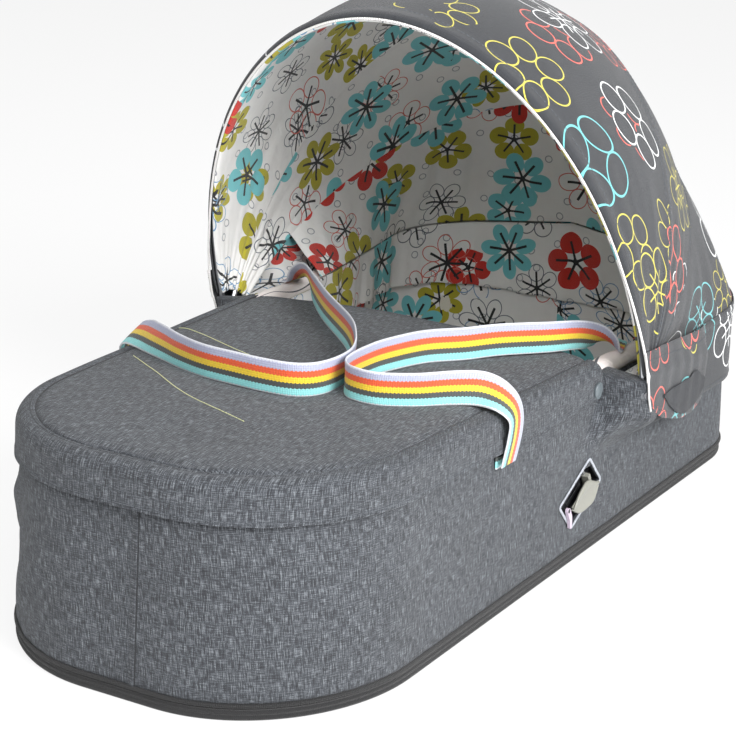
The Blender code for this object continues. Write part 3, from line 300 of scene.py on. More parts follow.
class Thread:
    """A socket in a material: arithmetic on it adds Math nodes, and make() adds any other node."""

    def __init__(self, tree, node=None, out=0):
        self.tree = tree
        self.node = node
        self.out = out

    def make(self, kind, settings=None, sockets=None, out=0):
        node = self.tree.nodes.new("ShaderNode" + kind)
        for key, value in (settings or {}).items():
            if key == "stops":
                ramp = node.color_ramp
                while len(ramp.elements) < len(value):
                    ramp.elements.new(1.0)
                for stop, (place, tint) in zip(ramp.elements, value):
                    stop.position = place
                    stop.color = (*tint, 1)
            else:
                setattr(node, key, value)
        for key, value in (sockets or {}).items():
            target = node.inputs[key]
            if isinstance(value, Thread):
                self.tree.links.new(value.node.outputs[value.out], target)
            elif value is not None:
                target.default_value = value
        return Thread(self.tree, node, out)

    def at(self, out):
        return Thread(self.tree, self.node, out)

    def sum(self, operation, *values):
        return self.make("Math", {"operation": operation}, dict(enumerate(values)))

    def __abs__(self):
        return self.sum("ABSOLUTE", self)

    def sine(self):
        return self.sum("SINE", self)

    def cosine(self):
        return self.sum("COSINE", self)

    def clamped(self):
        return self.make("Clamp", {}, {0: self})

    def tint(self, first, second):
        """The first colour where this is 0 and the second where it is 1."""
        return self.make("Mix", {"data_type": "RGBA"}, {0: self, 6: first, 7: second}, 2)

    def speckle(self, vector, scale, detail=2.0):
        return self.make("TexNoise", {}, {"Vector": vector, "Scale": scale, "Detail": detail}, 0)


# Arithmetic on Threads, one Math node for each step; a plain number may stand on either side.
OPERATIONS = {"add": "ADD", "sub": "SUBTRACT", "mul": "MULTIPLY", "truediv": "DIVIDE",
              "pow": "POWER", "mod": "FLOORED_MODULO", "lt": "LESS_THAN", "gt": "GREATER_THAN"}
for word, kind in OPERATIONS.items():
    setattr(Thread, "__%s__" % word, lambda one, two, kind=kind: one.sum(kind, one, two))
for word in ("add", "mul", "truediv"):
    kind = OPERATIONS[word]
    setattr(Thread, "__r%s__" % word, lambda one, two, kind=kind: one.sum(kind, two, one))


def linear(red, green, blue):
    """A written colour of 0 to 255 as the shader's linear colour."""
    def channel(value):
        value = value / 255
        return value / 12.92 if value <= 0.04045 else ((value + 0.055) / 1.055) ** 2.4
    return (channel(red), channel(green), channel(blue), 1.0)


def new_finish(name):
    """A bare material and the Thread that builds in it."""
    finish = bpy.data.materials.new(name)
    finish.use_nodes = True
    return finish, Thread(finish.node_tree)


def settle_finish(finish, thread, colour, roughness, height, depth, sheen=0.0):
    """Links a material's colour, roughness and bump to its shader."""
    shader = finish.node_tree.nodes["Principled BSDF"]
    bump = thread.make("Bump", {}, {"Strength": 1.0, "Distance": depth, "Height": height})
    for key, value in (("Base Color", colour), ("Roughness", roughness), ("Normal", bump)):
        finish.node_tree.links.new(value.node.outputs[value.out], shader.inputs[key])
    shader.inputs["Sheen Weight"].default_value = sheen
    return finish


def new_cloth(name):
    """A bare material, its Thread, and the cloth's own flat lengths across and down."""
    finish, t = new_finish(name)
    split = t.make("SeparateXYZ", {}, {0: t.make("UVMap", {"uv_map": "cloth"})})
    return finish, t, split.at(0), split.at(1)


def stretched(u, v, across, down):
    return u.make("CombineXYZ", {}, {0: u * across, 1: v * down, 2: 0.0})


def yarn(u, v, across, down, detail=2.0):
    """Noise with so many spots to the metre across and down the cloth."""
    return u.speckle(stretched(u, v, across, down), 1.0, detail)


def ribbed(place, pitch):
    return (place * (TAU / pitch)).sine()


def crossed(u, v, pitch):
    """A plain weave's ups and downs."""
    return ribbed(u, pitch) * ribbed(v, pitch)


def shaded(colour, factor):
    return tuple(min(c * factor, 1) for c in colour[:3]) + (1,)


def mottled_cloth(name, dark, middle, light):
    """Woven cloth of uneven dark and pale yarns, with slubs both ways."""
    finish, t, u, v = new_cloth(name)
    warp = yarn(u, v, 1700, 120, 3.0)
    weft = yarn(u, v, 150, 1500, 3.0)
    fine = yarn(u, v, 2300, 2300, 1.0)
    slub = yarn(u, v, 700, 60, 2.0)
    broad = yarn(u, v, 16, 16, 2.0)
    mix = (warp * 0.42 + weft * 0.28 + fine * 0.20 + slub * 0.10 - 0.5) * 4.0 + 0.5
    tone = t.make("ValToRGB", {"stops": [(0.08, dark[:3]), (0.5, middle[:3]), (0.95, light[:3])]},
                  {0: mix})
    worn = (broad - 0.5) * 0.35 + 0.5
    tinted = t.make("Mix", {"data_type": "RGBA", "blend_type": "OVERLAY"},
                    {0: 0.5, 6: tone, 7: worn}, 2)
    weave = crossed(u, v, 0.0011)
    height = weave * 0.25 + (warp + weft) * 0.9
    return settle_finish(finish, t, tinted, 0.86 + (fine - 0.5) * 0.2, height, 0.0005, sheen=0.08)


grey_cloth = mottled_cloth("grey_cloth", linear(20, 22, 26), linear(50, 53, 59),
                           linear(118, 123, 128))

CLIP_Y = 0.0125
CLIP_Z = 0.0565
CLIP_SLANT_DEG = 26.0
SLIT_LENGTH = 58 * MM
SLIT_HEIGHT = 30 * MM
SLIT_SKEW = 9.5 * MM


def wall_frame(y, z, side):
    """A frame on the cover whose axes run to the head end, up and outwards."""
    def on_face(y, z):
        return Vector((half_width_at(y, lean(z, y)) * side, y, z))

    origin = on_face(y, z)
    along = (on_face(y + 5 * MM, z) - origin).normalized()
    up = (on_face(y, z + 5 * MM) - origin).normalized()
    out = along.cross(up).normalized() * side
    up = out.cross(along).normalized() * side
    matrix = Matrix.Identity(4)
    matrix.col[0][:3] = along * side
    matrix.col[1][:3] = up
    matrix.col[2][:3] = out
    matrix.col[3][:3] = origin
    return matrix


def clip_frame(side):
    slant = Matrix.Rotation(math.radians(CLIP_SLANT_DEG) * side, 4, "Z")
    return wall_frame(CLIP_Y, CLIP_Z, side) @ slant


def slit_points(margin):
    half = SLIT_LENGTH / 2 + margin
    rise = SLIT_HEIGHT / 2 + margin
    skew = SLIT_SKEW / 2
    return [(-half + skew, -rise), (half + skew, -rise), (half - skew, rise), (-half - skew, rise)]


def near_clip(place):
    """1 at the middle of a side clip and 0 well away from it."""
    away = math.hypot(place[1] - CLIP_Y, place[2] - CLIP_Z)
    return unit(1 - (away - 34 * MM) / (30 * MM))


def cover_drape(down, across, place):
    """How far the cover stands off its padding: upright drapes, creased corners and a taut foot."""
    x, y, z = place
    share = z / RIM_HEIGHT_FOOT
    held = math.sin(math.pi * unit((share - 0.04) / 0.93)) ** 0.7
    run = Vector((x * 1.0, y * 1.0, z * 0.16))
    drape = wave(run, 0.058, 3.1) * 2.0 * MM + wave(run, 0.023, 8.3) * 0.7 * MM
    slant = Vector((x - 0.9 * z, y + 0.5 * z, 0))
    corner = max(0.0, 1 - math.hypot(x + 0.125, y + 0.345) / 0.13)
    crease = (1 - abs(wave(slant, 0.026, 5.7))) ** 5
    drape += corner * (wave(slant, 0.030, 5.7) * 5.0 + crease * 4.5 - 1.0) * MM
    hood_pull = unit((y - 0.05) / 0.1)
    drape += hood_pull * wave(run, 0.034, 12.9) * 2.0 * MM
    return (drape + 0.6 * MM) * held * (1 - near_clip(place))


def rising(low, drop, share, edge=rim_height):
    """A row's height: a share of the way from low to a line that lies a drop under an edge."""
    return lambda index, y: low + (edge(y) - drop - low) * share


grid = [leaning_row(ring, 0, rising(COVER_LOW, COVER_TOP_DROP, r / (COVER_ROWS - 1)))
        for r in range(COVER_ROWS)]
cover_grid = rippled(grid, cover_drape, True, -1)
cover = baked(cut_cloth("cot_cover", cover_grid, grey_cloth, COVER_CLOTH, 1, closed=True))


def shell_of(name, bm):
    """The scene's object of a bmesh, its faces turned outwards."""
    bmesh.ops.recalc_face_normals(bm, faces=bm.faces)
    mesh = bpy.data.meshes.new(name)
    bm.to_mesh(mesh)
    bm.free()
    return linked(name, mesh)


def slab(name, corners, depth, matrix, mirror):
    """A straight-sided cutter over corners in a frame."""
    bm = bmesh.new()
    low = [bm.verts.new((x * mirror, y, -depth)) for x, y in corners]
    high = [bm.verts.new((x * mirror, y, depth)) for x, y in corners]
    bm.faces.new(low)
    bm.faces.new(high)
    for i in range(len(corners)):
        bm.faces.new((low[i], low[i - 1], high[i - 1], high[i]))
    bm.transform(matrix)
    return shell_of(name, bm)


def cut_out(piece, cutter):
    cut = piece.modifiers.new("cut", "BOOLEAN")
    cut.object = cutter
    cut.operation = "DIFFERENCE"
    cut.solver = "EXACT"
    baked(piece)
    bpy.data.objects.remove(cutter, do_unlink=True)


for side in (1, -1):
    cut_out(cover, slab("slit_shape", slit_points(0), 12 * MM, clip_frame(side), side))
belongs(cover, "tub", "grey_cloth", "outer_cover")
declare_cloth(cover, cover_grid, ["wall_foam"])

# The wall's foam: an even layer behind the cover, with a window for each clip's housing.
PADDING_OFFSET = -1.9 * MM
PADDING_LOW = 6.7 * MM
PADDING_TOP_DROP = 15.9 * MM
WALL_PADDING = 8 * MM
WINDOW_LENGTH = 76.1 * MM
WINDOW_HEIGHT = 38.6 * MM


def grained(name, shade, scale, detail, tones, rough, depth, rub=0.0, metallic=0.0):
    """Grain in the bump and the roughness, and a tone that wanders with it or with a broad rub."""
    finish, t = new_finish(name)
    place = t.make("TexCoord", {}, {}, 3)
    grain = t.speckle(place, scale, detail)
    broad = t.speckle(place, rub, 2.0) if rub else grain
    roughness = grain * rough[1] + rough[0]
    if rub:
        roughness = roughness + broad * rough[2]
    tone = broad.tint(shaded(shade, tones[0]), shaded(shade, tones[1]))
    settle_finish(finish, t, tone, roughness, grain, depth)
    finish.node_tree.nodes["Principled BSDF"].inputs["Metallic"].default_value = metallic
    return finish


pale_foam = grained("pale_foam", linear(226, 222, 206), 900.0, 2.0, (0.8, 1.0), (0.8, 0.15), 0.0006)
grid = [leaning_row(ring, PADDING_OFFSET, rising(PADDING_LOW, PADDING_TOP_DROP, r / 4))
        for r in range(5)]
foam_grid = rippled(grid, lambda down, across, place: wave(place, 0.05, 4.0) * 0.1 * MM, True)
foam = baked(cut_cloth("wall_foam", foam_grid, pale_foam, WALL_PADDING, 1, True, 0))
for side in (1, -1):
    corners = [(x * WINDOW_LENGTH / 2, y * WINDOW_HEIGHT / 2)
               for x, y in ((-1, -1), (1, -1), (1, 1), (-1, 1))]
    cut_out(foam, slab("window_shape", corners, 20 * MM, clip_frame(side), side))
belongs(foam, "tub", "padding", "wall_padding")


def swept(name, path, outline, material, ups=None, closed=False):
    """A solid of one outline (across, out) carried along a path; ups gives the way outwards."""
    path = np.array(path, float)
    count = len(path)
    if closed:
        run = np.roll(path, -1, axis=0) - np.roll(path, 1, axis=0)
    else:
        run = np.gradient(path, axis=0)
    run /= np.linalg.norm(run, axis=1, keepdims=True)
    ups = np.array(ups, float)
    if ups.ndim == 1:
        ups = np.tile(ups, (count, 1))
    across = np.cross(run, ups)
    across /= np.linalg.norm(across, axis=1, keepdims=True)
    out = np.cross(across, run)
    grid = []
    for width, height in outline:
        grid.append(path + across * width + out * height)
    grid = np.array(grid + [grid[0]])
    rows, columns = grid.shape[:2]
    bm = bmesh.new()
    rings = [[bm.verts.new(grid[r, c]) for r in range(rows - 1)] for c in range(columns)]
    lay = bm.loops.layers.uv.new("cloth")
    steps = np.concatenate([[0], np.cumsum(np.linalg.norm(np.diff(path, axis=0), axis=1))])
    girth = [0.0]
    for before, after in zip(outline, outline[1:] + outline[:1]):
        girth.append(girth[-1] + math.dist(before, after))
    spans = columns if closed else columns - 1
    for c in range(spans):
        ahead = (c + 1) % columns
        far = steps[c + 1] if c + 1 < columns else steps[c] + math.dist(path[0], path[c])
        for r in range(rows - 1):
            low = (r + 1) % (rows - 1)
            face = bm.faces.new((rings[c][r], rings[c][low], rings[ahead][low], rings[ahead][r]))
            marks = ((steps[c], girth[r]), (steps[c], girth[r + 1]), (far, girth[r + 1]),
                     (far, girth[r]))
            for loop, mark in zip(face.loops, marks):
                loop[lay].uv = mark
    if not closed:
        bm.faces.new(rings[0])
        bm.faces.new(rings[-1])
    piece = shell_of(name, bm)
    piece.data.materials.append(material)
    piece.data.shade_smooth()
    piece.data.set_sharp_from_angle(angle=math.radians(50))
    return piece


def scaled(points):
    """Points written in millimetres, as metres."""
    return [tuple(value * MM for value in point) for point in points]


def round_outline(radius_across, radius_out, sides=10):
    return [(radius_across * math.cos(TAU * k / sides), radius_out * math.sin(TAU * k / sides))
            for k in range(sides)]


# The foot seam: two cloth edges lapped and felled, so that a fine ridge stands up the middle of
# the foot end from the bottom edge to the apron. A narrow strip of dark cloth beside the lap is
# painted shade in the seam's valley.
SEAM_X = 0.012
SEAM_TOP = 0.148
SEAM_STEPS = 30
SEAM_LAP = scaled(((-3.2, -0.6), (-3.2, 0.1), (1.6, 1.3), (2.0, 1.0), (2.0, -0.6)))
# The strip beside the lap, in the dark seam cloth, is painted shade.
SEAM_SHADE_STRIP = scaled(((2.0, -0.6), (2.0, 0.35), (2.6, 0.45), (3.2, 0.2), (3.2, -0.6)))
seam_path = []
seam_out = []
for step in range(SEAM_STEPS + 1):
    z = COVER_LOW + (SEAM_TOP - COVER_LOW) * step / SEAM_STEPS
    nearest = min(cover_grid.reshape(-1, 3),
                  key=lambda p: abs(p[0] - SEAM_X) * 2 + abs(p[2] - z) + (p[1] > 0))
    seam_path.append((SEAM_X, nearest[1] + 0.1 * MM, z))
    seam_out.append((0, -1, 0))
# Dark cloth for painted shade: thin strips of it lie in the valleys of the seams.
turned_edge = mottled_cloth("turned_edge", linear(16, 17, 20), linear(30, 32, 36),
                            linear(56, 58, 62))
for name, outline, finish in (("foot_seam", SEAM_LAP, grey_cloth),
                              ("foot_seam_fold", SEAM_SHADE_STRIP, turned_edge)):
    strip = swept(name, seam_path, outline, finish, seam_out)
    belongs(strip, "tub", "grey_cloth")

# The bottom edge: a ribbed black tape round the base board and a round black piping above it,
# sewn into the cover's lower edge.
BAND_HEIGHT = 9.5 * MM
BAND_RIDGES = 2.5
BAND_RIDGE = 0.8 * MM


def ribbed_tape(name, shade, rib):
    """Grosgrain tape: fine upright ribs and a groove along its middle, with painted shade in the
    groove and between the ribs.
    """
    finish, t, u, v = new_cloth(name)
    ribs = ribbed(u, rib)
    dust = yarn(u, v, 300, 300)
    groove = (abs(v - BAND_HEIGHT / 2) < 0.5 * MM) * 1.0
    # Painted shade: the tone drops in the middle groove and follows the ribs, darker in their
    # troughs; the dust is random tone.
    tone = (ribs * 0.12 + dust * 0.5 + 0.2 - groove * 0.25).clamped().tint(
        shaded(shade, 0.45), shaded(shade, 2.2))
    return settle_finish(finish, t, tone, 0.62 + dust * 0.2, ribs * 0.5 - groove * 2, 0.0004,
                         sheen=0.1)


def band_ridges(down, across, place):
    return BAND_RIDGE * (abs(math.sin(math.pi * BAND_RIDGES * down)) - 0.5)


black_tape = ribbed_tape("black_tape", linear(13, 13, 15), 1.3 * MM)
grid = [leaning_row(ring, 0.2 * MM, 0.2 * MM + (BAND_HEIGHT - 0.2 * MM) * r / 16)
        for r in range(17)]
band = cut_cloth("base_tape", rippled(grid, band_ridges, True, -1), black_tape, 1.4 * MM, 1,
                 closed=True)
belongs(band, "tub", "black_trim", "base_band")
line = leaning_row(ring, 0.4 * MM, BAND_HEIGHT + 1.9 * MM)
piping = swept("base_cord_piping", line, round_outline(1.6 * MM, 1.6 * MM), black_tape, (0, 0, 1),
               closed=True)
belongs(piping, "tub", "black_trim", "base_piping")


def paint_node(node, finish):
    """Gives a CAD node its finish."""
    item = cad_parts[node]
    if not item.material_slots:
        item.data.materials.append(finish)
    for place in item.material_slots:
        place.material = finish


board = grained("base_board_grain", linear(44, 44, 45), 260.0, 4.0, (0.6, 1.5), (0.55, 0.3),
                0.0002)
paint_node("base_board", board)

# The apron: lined cloth over the baby's feet. Its crowned panel is sewn with a sunk seam to an
# edge strip that rolls over the rim and hangs outside it to a turned hem, and two arcs of yellow
# thread are sewn across the panel.
APRON_CROWN = 6 * MM
APRON_DROP = 32 * MM
APRON_SEAM_INSET = 15 * MM
APRON_EDGE_BOW = 16 * MM
ROLL_OFFSET = -5.9 * MM
ROLL_OUTER = 8.3 * MM
ROLL_DROP = 10.8 * MM
APRON_ROWS = 64
APRON_COLUMNS = 60
STITCH = 3.4 * MM
STITCH_GAP = 1.3 * MM
THREAD_RADIUS = 0.32 * MM


def roll_height(y):
    return rim_height(y) - ROLL_DROP


def top_lean(y):
    return lean(roll_height(y), y)


def apron_surface(x, y):
    span = half_width_at(y, 0)
    across = max(0, 1 - (x / span) ** 2)
    along = max(0, 1 - (2 * (y + HALF_LENGTH) / (HALF_LENGTH + APRON_EDGE_Y) - 1) ** 4)
    return rim_height(y) + APRON_CROWN * across * (0.35 + 0.65 * along)


def apron_puff(down, across, place):
    """The panel's soft rise from its sunk seam, with dents, and puckers at the stitching."""
    edge = min(across, 1 - across) * 2 * half_width_at(place[1], 0)
    edge = min(edge, place[1] + HALF_LENGTH - 14 * MM)
    rise = 1 - math.exp(-max(edge, 0) / (7 * MM))
    dents = wave(place, 0.075, 2.2) * 1.5 * MM + wave(place, 0.030, 6.4) * 0.5 * MM
    pucker = wave(place, 0.007, 4.0) * 0.35 * MM * math.exp(-max(edge, 0) / (9 * MM))
    lead = min(1.0, (1 - down) / 0.04)
    return -2.2 * MM + 3.4 * MM * rise + (dents + pucker) * rise + (lead - 1) * 0.8 * MM


seam = ROLL_OFFSET + ROLL_DROP - APRON_SEAM_INSET
start = HALF_LENGTH + seam + top_lean(-HALF_LENGTH) + 1.8 * MM
grid = []
for row in range(APRON_ROWS + 1):
    share = row / APRON_ROWS
    y = -start + (start + APRON_EDGE_Y) * share ** 1.35
    line = []
    for column in range(APRON_COLUMNS + 1):
        across = 2 * column / APRON_COLUMNS - 1
        across = math.copysign(abs(across) ** 0.85, across)
        x = across * half_width_at(y, seam + top_lean(y) + 1.8 * MM)
        lead = APRON_EDGE_BOW * (1 - across ** 2) * share ** 4
        line.append((x, y + lead, apron_surface(x, y)))
    grid.append(line)
panel_grid = rippled(grid, apron_puff)
flat_x = panel_grid[:, :, 0]
flat_y = panel_grid[:, :, 1]
apron = cut_cloth("apron_top", panel_grid, grey_cloth, 1.8 * MM, -1, flat=(flat_x, flat_y))
belongs(apron, "apron", "grey_cloth", "apron_panel")


def edge_row(offset, height):
    row = []
    plain = foot_run(ROLL_OFFSET)
    near = foot_run(offset)
    far = foot_run(offset + MM)
    for point, place, further in zip(plain, near, far):
        z = roll_height(point.y) + (height(point.y) if callable(height) else height)
        out = (further - place) / MM
        row.append((*(place + out * top_lean(point.y)), z))
    return row


def hem_lift(y):
    """The hem rises towards the apron's front corners."""
    return 7 * MM * max(0.0, (y + 0.02) / 0.06) ** 2


rows = [edge_row(seam + offset * MM, ROLL_DROP + lift * MM)
        for offset, lift in ((0.2, -1.9), (0.9, -0.8), (2.6, 0.3), (5, 0.5))]
for step in range(11):
    angle = math.pi / 2 * step / 10
    rows.append(edge_row(ROLL_OFFSET + ROLL_DROP * math.sin(angle), ROLL_DROP * math.cos(angle)))
for share in (0.42, 0.52, 0.62, 0.72, 0.82, 0.9, 0.96, 1.0):
    rows.append(edge_row(ROLL_OFFSET + ROLL_DROP + 0.5 * MM * (share > 0.97),
                         lambda y: ROLL_DROP - (APRON_DROP - hem_lift(y)) * share))

SNAP_Y = 0.029
SNAP_Z = 0.1416


def skirt_drape(down, across, place):
    free = max(0.0, (down - 0.55) / 0.45)
    soft = wave(place, 0.045, 9.1) * 1.1 * MM + wave(place, 0.018, 1.9) * 0.4 * MM
    soft *= unit(math.hypot(place[1] - SNAP_Y, place[2] - SNAP_Z) / (14 * MM) - 0.8)
    pucker = wave(place, 0.008, 7.7) * 0.3 * MM * math.exp(-down * 9)
    return soft * (0.25 + 0.75 * free) + pucker + (0.3 + 1.3 * free ** 2) * MM


skirt_grid = rippled(rows, skirt_drape)
apron_edge = cut_cloth("apron_edge", skirt_grid, grey_cloth, 1.8 * MM, -1)
belongs(apron_edge, "apron", "grey_cloth", "apron_skirt")
declare_cloth(apron_edge, skirt_grid, ["rim_padding"])
# A thin strip of the dark seam cloth along the sunk seam: painted shade in the seam.
seam_line = skirt_grid[1] + normals(skirt_grid, False)[1] * 0.2 * MM
seam_shade_strip = swept("apron_seam_fold", seam_line,
                  scaled(((-0.7, -0.5), (-0.5, 0.3), (0.5, 0.3), (0.7, -0.5))),
                  turned_edge, (0, 0, 1))
belongs(seam_shade_strip, "apron", "grey_cloth")


def stitch_tree():
    """Stitches along a curve: a short round bead of thread, a gap, and the next."""
    tree = bpy.data.node_groups.new("row_of_stitches", "GeometryNodeTree")
    tree.interface.new_socket("Line", in_out="INPUT", socket_type="NodeSocketGeometry")
    for name in ("Pitch", "Stitch", "Radius"):
        tree.interface.new_socket(name, in_out="INPUT", socket_type="NodeSocketFloat")
    tree.interface.new_socket("Thread", in_out="INPUT", socket_type="NodeSocketMaterial")
    tree.interface.new_socket("Stitches", in_out="OUTPUT", socket_type="NodeSocketGeometry")
    given = tree.nodes.new("NodeGroupInput")
    spaced = tree.nodes.new("GeometryNodeResampleCurve")
    spaced.mode = "LENGTH"
    bead = tree.nodes.new("GeometryNodeMeshCylinder")
    bead.inputs["Vertices"].default_value = 6
    run = tree.nodes.new("GeometryNodeInputTangent")
    turn = tree.nodes.new("FunctionNodeAlignRotationToVector")
    turn.axis = "Z"
    lay = tree.nodes.new("GeometryNodeInstanceOnPoints")
    real = tree.nodes.new("GeometryNodeRealizeInstances")
    dye = tree.nodes.new("GeometryNodeSetMaterial")
    made = tree.nodes.new("NodeGroupOutput")
    for source, out, target, into in (
            (given, "Line", spaced, "Curve"), (given, "Pitch", spaced, "Length"),
            (given, "Stitch", bead, "Depth"), (given, "Radius", bead, "Radius"),
            (run, 0, turn, "Vector"), (spaced, "Curve", lay, "Points"),
            (bead, "Mesh", lay, "Instance"), (turn, "Rotation", lay, "Rotation"),
            (lay, "Instances", real, "Geometry"), (real, "Geometry", dye, "Geometry"),
            (given, "Thread", dye, "Material"), (dye, "Geometry", made, "Stitches")):
        tree.links.new(source.outputs[out], target.inputs[into])
    return tree


stitches = stitch_tree()


def sew(name, lines, thread, body, slot, stitch=STITCH, gap=STITCH_GAP, radius=THREAD_RADIUS):
    """Rows of stitches along lines of points, as one plain mesh that rides on a body."""
    curve = bpy.data.curves.new(name + "_line", "CURVE")
    curve.dimensions = "3D"
    for points in lines:
        run = curve.splines.new("POLY")
        run.points.add(len(points) - 1)
        for place, point in zip(run.points, points):
            place.co = (*point, 1)
    guide = linked(name + "_line", curve)
    work = guide.modifiers.new("stitches", "NODES")
    work.node_group = stitches
    values = {"Pitch": stitch + gap, "Stitch": stitch, "Radius": radius, "Thread": thread}
    for socket in stitches.interface.items_tree:
        if socket.in_out == "INPUT" and socket.name in values:
            work[socket.identifier] = values[socket.name]
    graph = bpy.context.evaluated_depsgraph_get()
    graph.update()
    mesh = bpy.data.meshes.new_from_object(guide.evaluated_get(graph))
    bpy.data.objects.remove(guide, do_unlink=True)
    mesh.name = name
    mesh.shade_smooth()
    row = linked(name, mesh)
    belongs(row, body, slot)
    return row


yellow_thread, grey_thread = (grained(name, shade, 2400.0, 1.0, (0.75, 1.0), (0.6, 0.2), 0.0001)
                              for name, shade in (("yellow_thread", linear(205, 208, 160)),
                                                  ("grey_thread", linear(92, 96, 102))))


def on_panel(x, y):
    """The panel's height where the thread lies on it."""
    gaps = np.hypot(panel_grid[:, :, 0] - x, panel_grid[:, :, 1] - y)
    nearest = np.argsort(gaps.ravel())[:4]
    weights = 1 / (gaps.ravel()[nearest] + 1e-5)
    return float((panel_grid[:, :, 2].ravel()[nearest] * weights).sum() / weights.sum())


def smooth_line(points, steps):
    """A smooth line through points, of a number of steps between each two."""
    points = [Vector(p) for p in points]
    line = []
    for index in range(len(points) - 1):
        before = points[max(index - 1, 0)]
        start = points[index]
        end = points[index + 1]
        after = points[min(index + 2, len(points) - 1)]
        for step in range(steps):
            share = step / steps
            line.append(0.5 * (2 * start + (end - before) * share
                               + (2 * before - 5 * start + 4 * end - after) * share ** 2
                               + (3 * start - before - 3 * end + after) * share ** 3))
    line.append(points[-1])
    return line


arcs = []
for course in (((-0.150, -0.098), (-0.114, -0.115), (-0.073, -0.135), (-0.020, -0.158)),
               ((-0.128, -0.196), (-0.108, -0.211), (-0.052, -0.252), (-0.012, -0.273),
                (0.030, -0.289))):
    flat = smooth_line([(x, y, 0) for x, y in course], 24)
    arcs.append([(p.x, p.y, on_panel(p.x, p.y) + 0.25 * MM) for p in flat])
sew("apron_arc_stitches", arcs, yellow_thread, "apron", "grey_cloth", 3.2 * MM, 0.7 * MM, 0.36 * MM)
hem_line = skirt_grid[-3] + normals(skirt_grid, False)[-3] * 0.15 * MM
fold_line = skirt_grid[2] + normals(skirt_grid, False)[2] * 0.1 * MM
sew("apron_hem_stitches", [hem_line, fold_line], grey_thread, "apron", "grey_cloth",
    radius=0.22 * MM)
front_edge = [(x, y - 7 * MM, on_panel(x, y - 7 * MM) + 0.2 * MM)
              for x, y, z in panel_grid[-1, 2:-2]]
sew("apron_front_stitches", [front_edge], grey_thread, "apron", "grey_cloth")

# The rim: a steel tube in a padded roll of printed cloth, puckered along its length. It shows
# bare between the apron and the hood, and all along the inside.


def motif(t, cell, least, shift, loose):
    """One layer of a print: a flower in each cell, as the numbers its masks are cut from."""
    place = t.make("UVMap", {"uv_map": "cloth"})
    place = t.make("VectorMath", {"operation": "MULTIPLY_ADD"},
                   {0: place, 1: (1 / cell, 1 / cell, 0), 2: shift})
    near = t.make("TexVoronoi", {"voronoi_dimensions": "2D"}, {"Vector": place, "Scale": 1.0,
                                                               "Randomness": loose}, "Position")
    off = t.make("VectorMath", {"operation": "SUBTRACT"}, {0: place, 1: near})
    chance = t.make("SeparateColor", {}, {0: near.at("Color")})
    split = t.make("SeparateXYZ", {}, {0: off})
    x, y = split.at(0), split.at(1)
    first, second, third = chance.at(0), chance.at(1), chance.at(2)
    reach = (x * x + y * y) ** 0.5
    angle = t.sum("ARCTAN2", y, x) + second * TAU
    count = t.sum("FLOOR", third * 3.0) + least
    slice_ = TAU / count
    fold = (angle % slice_) - slice_ * 0.5
    px = reach * fold.cosine() - 0.245
    py = reach * fold.sine()
    half = 0.205 * t.sum("TANGENT", slice_ * 0.5)
    ring = ((px * px) / 0.0196 + (py * py) / (half * half)) ** 0.5
    return {"petal": ring, "reach": reach, "along": px, "across": py, "chance": first,
            "pick": second}


def between(value, low, high):
    return (value > low) * (value < high)


def flower_layer(t, below, flower, share, tints):
    """Lays filled and outlined flowers with dark spokes over a colour."""
    pick = flower["chance"]
    tint = (pick > 0.30).tint(tints[0], tints[1])
    tint = (pick > 0.44).tint(tint, tints[2])
    pen = (pick > 0.74).tint(tints[3], tints[4])
    pen = (pick > 0.87).tint(pen, tints[5])
    shown = flower["pick"] < share
    solid = (flower["petal"] < 1.0) * (pick < 0.62) * shown
    drawn = between(flower["petal"], 0.92, 1.03) * (pick > 0.62) * shown
    spoke = (abs(flower["across"]) < 0.0165) * (flower["reach"] < 0.275)
    spoke = spoke * (flower["along"] < 0.02) * shown
    heart = (flower["reach"] < 0.040) * shown
    colour = solid.tint(below, tint)
    colour = drawn.tint(colour, pen)
    return ((spoke + heart) > 0.5).tint(colour, linear(30, 31, 34))


def lining_print(name, ground):
    """Off-white cotton with daisies, filled in three colours or only outlined, and black spokes."""
    finish, t, u, v = new_cloth(name)
    tints = (linear(184, 174, 44), linear(208, 50, 38), linear(120, 204, 210),
             linear(104, 110, 120), linear(214, 112, 102), linear(120, 160, 196))
    worn = yarn(u, v, 60, 60, 3.0)
    colour = worn.tint(shaded(ground, 0.93), ground)
    dots = t.make("TexVoronoi", {"voronoi_dimensions": "2D"},
                  {"Vector": stretched(u, v, 1, 1), "Scale": 34.0, "Randomness": 0.8})
    colour = between(dots.at("Distance"), 0.10, 0.135).tint(colour, linear(166, 168, 174))
    colour = flower_layer(t, colour, motif(t, 0.066, 5.0, (4.2, 7.6, 0), 0.5), 0.84, tints)
    colour = flower_layer(t, colour, motif(t, 0.080, 5.0, (0.3, 0.1, 0), 0.42), 0.97, tints)
    weave = crossed(u, v, 0.0007)
    crumple = yarn(u, v, 45, 45, 3.0)
    return settle_finish(finish, t, colour, 0.85 + (worn - 0.5) * 0.2,
                         weave * 0.12 + crumple * 2.6, 0.0012, sheen=0.15)


def rim_print(name):
    """The roll's pinkish white cotton, with a few fine dark curved lines and painted shade in its
    puckers.
    """
    finish, t, u, v = new_cloth(name)
    pucker = yarn(u, v, 240, 40, 3.0)
    swing = ribbed(u, 0.19) * 0.010 + 0.020
    line = abs(v - swing) < 0.0007
    # Painted shade: the pucker noise that raises the bump also sets the tone, pinker in the hollows
    # and whiter on the rises.
    tone = (pucker * 0.9).tint(linear(216, 205, 203), linear(242, 237, 233))
    colour = line.tint(tone, linear(60, 62, 70))
    return settle_finish(finish, t, colour, 0.86 + (pucker - 0.5) * 0.1, pucker * 1.5, 0.0012,
                         sheen=0.15)


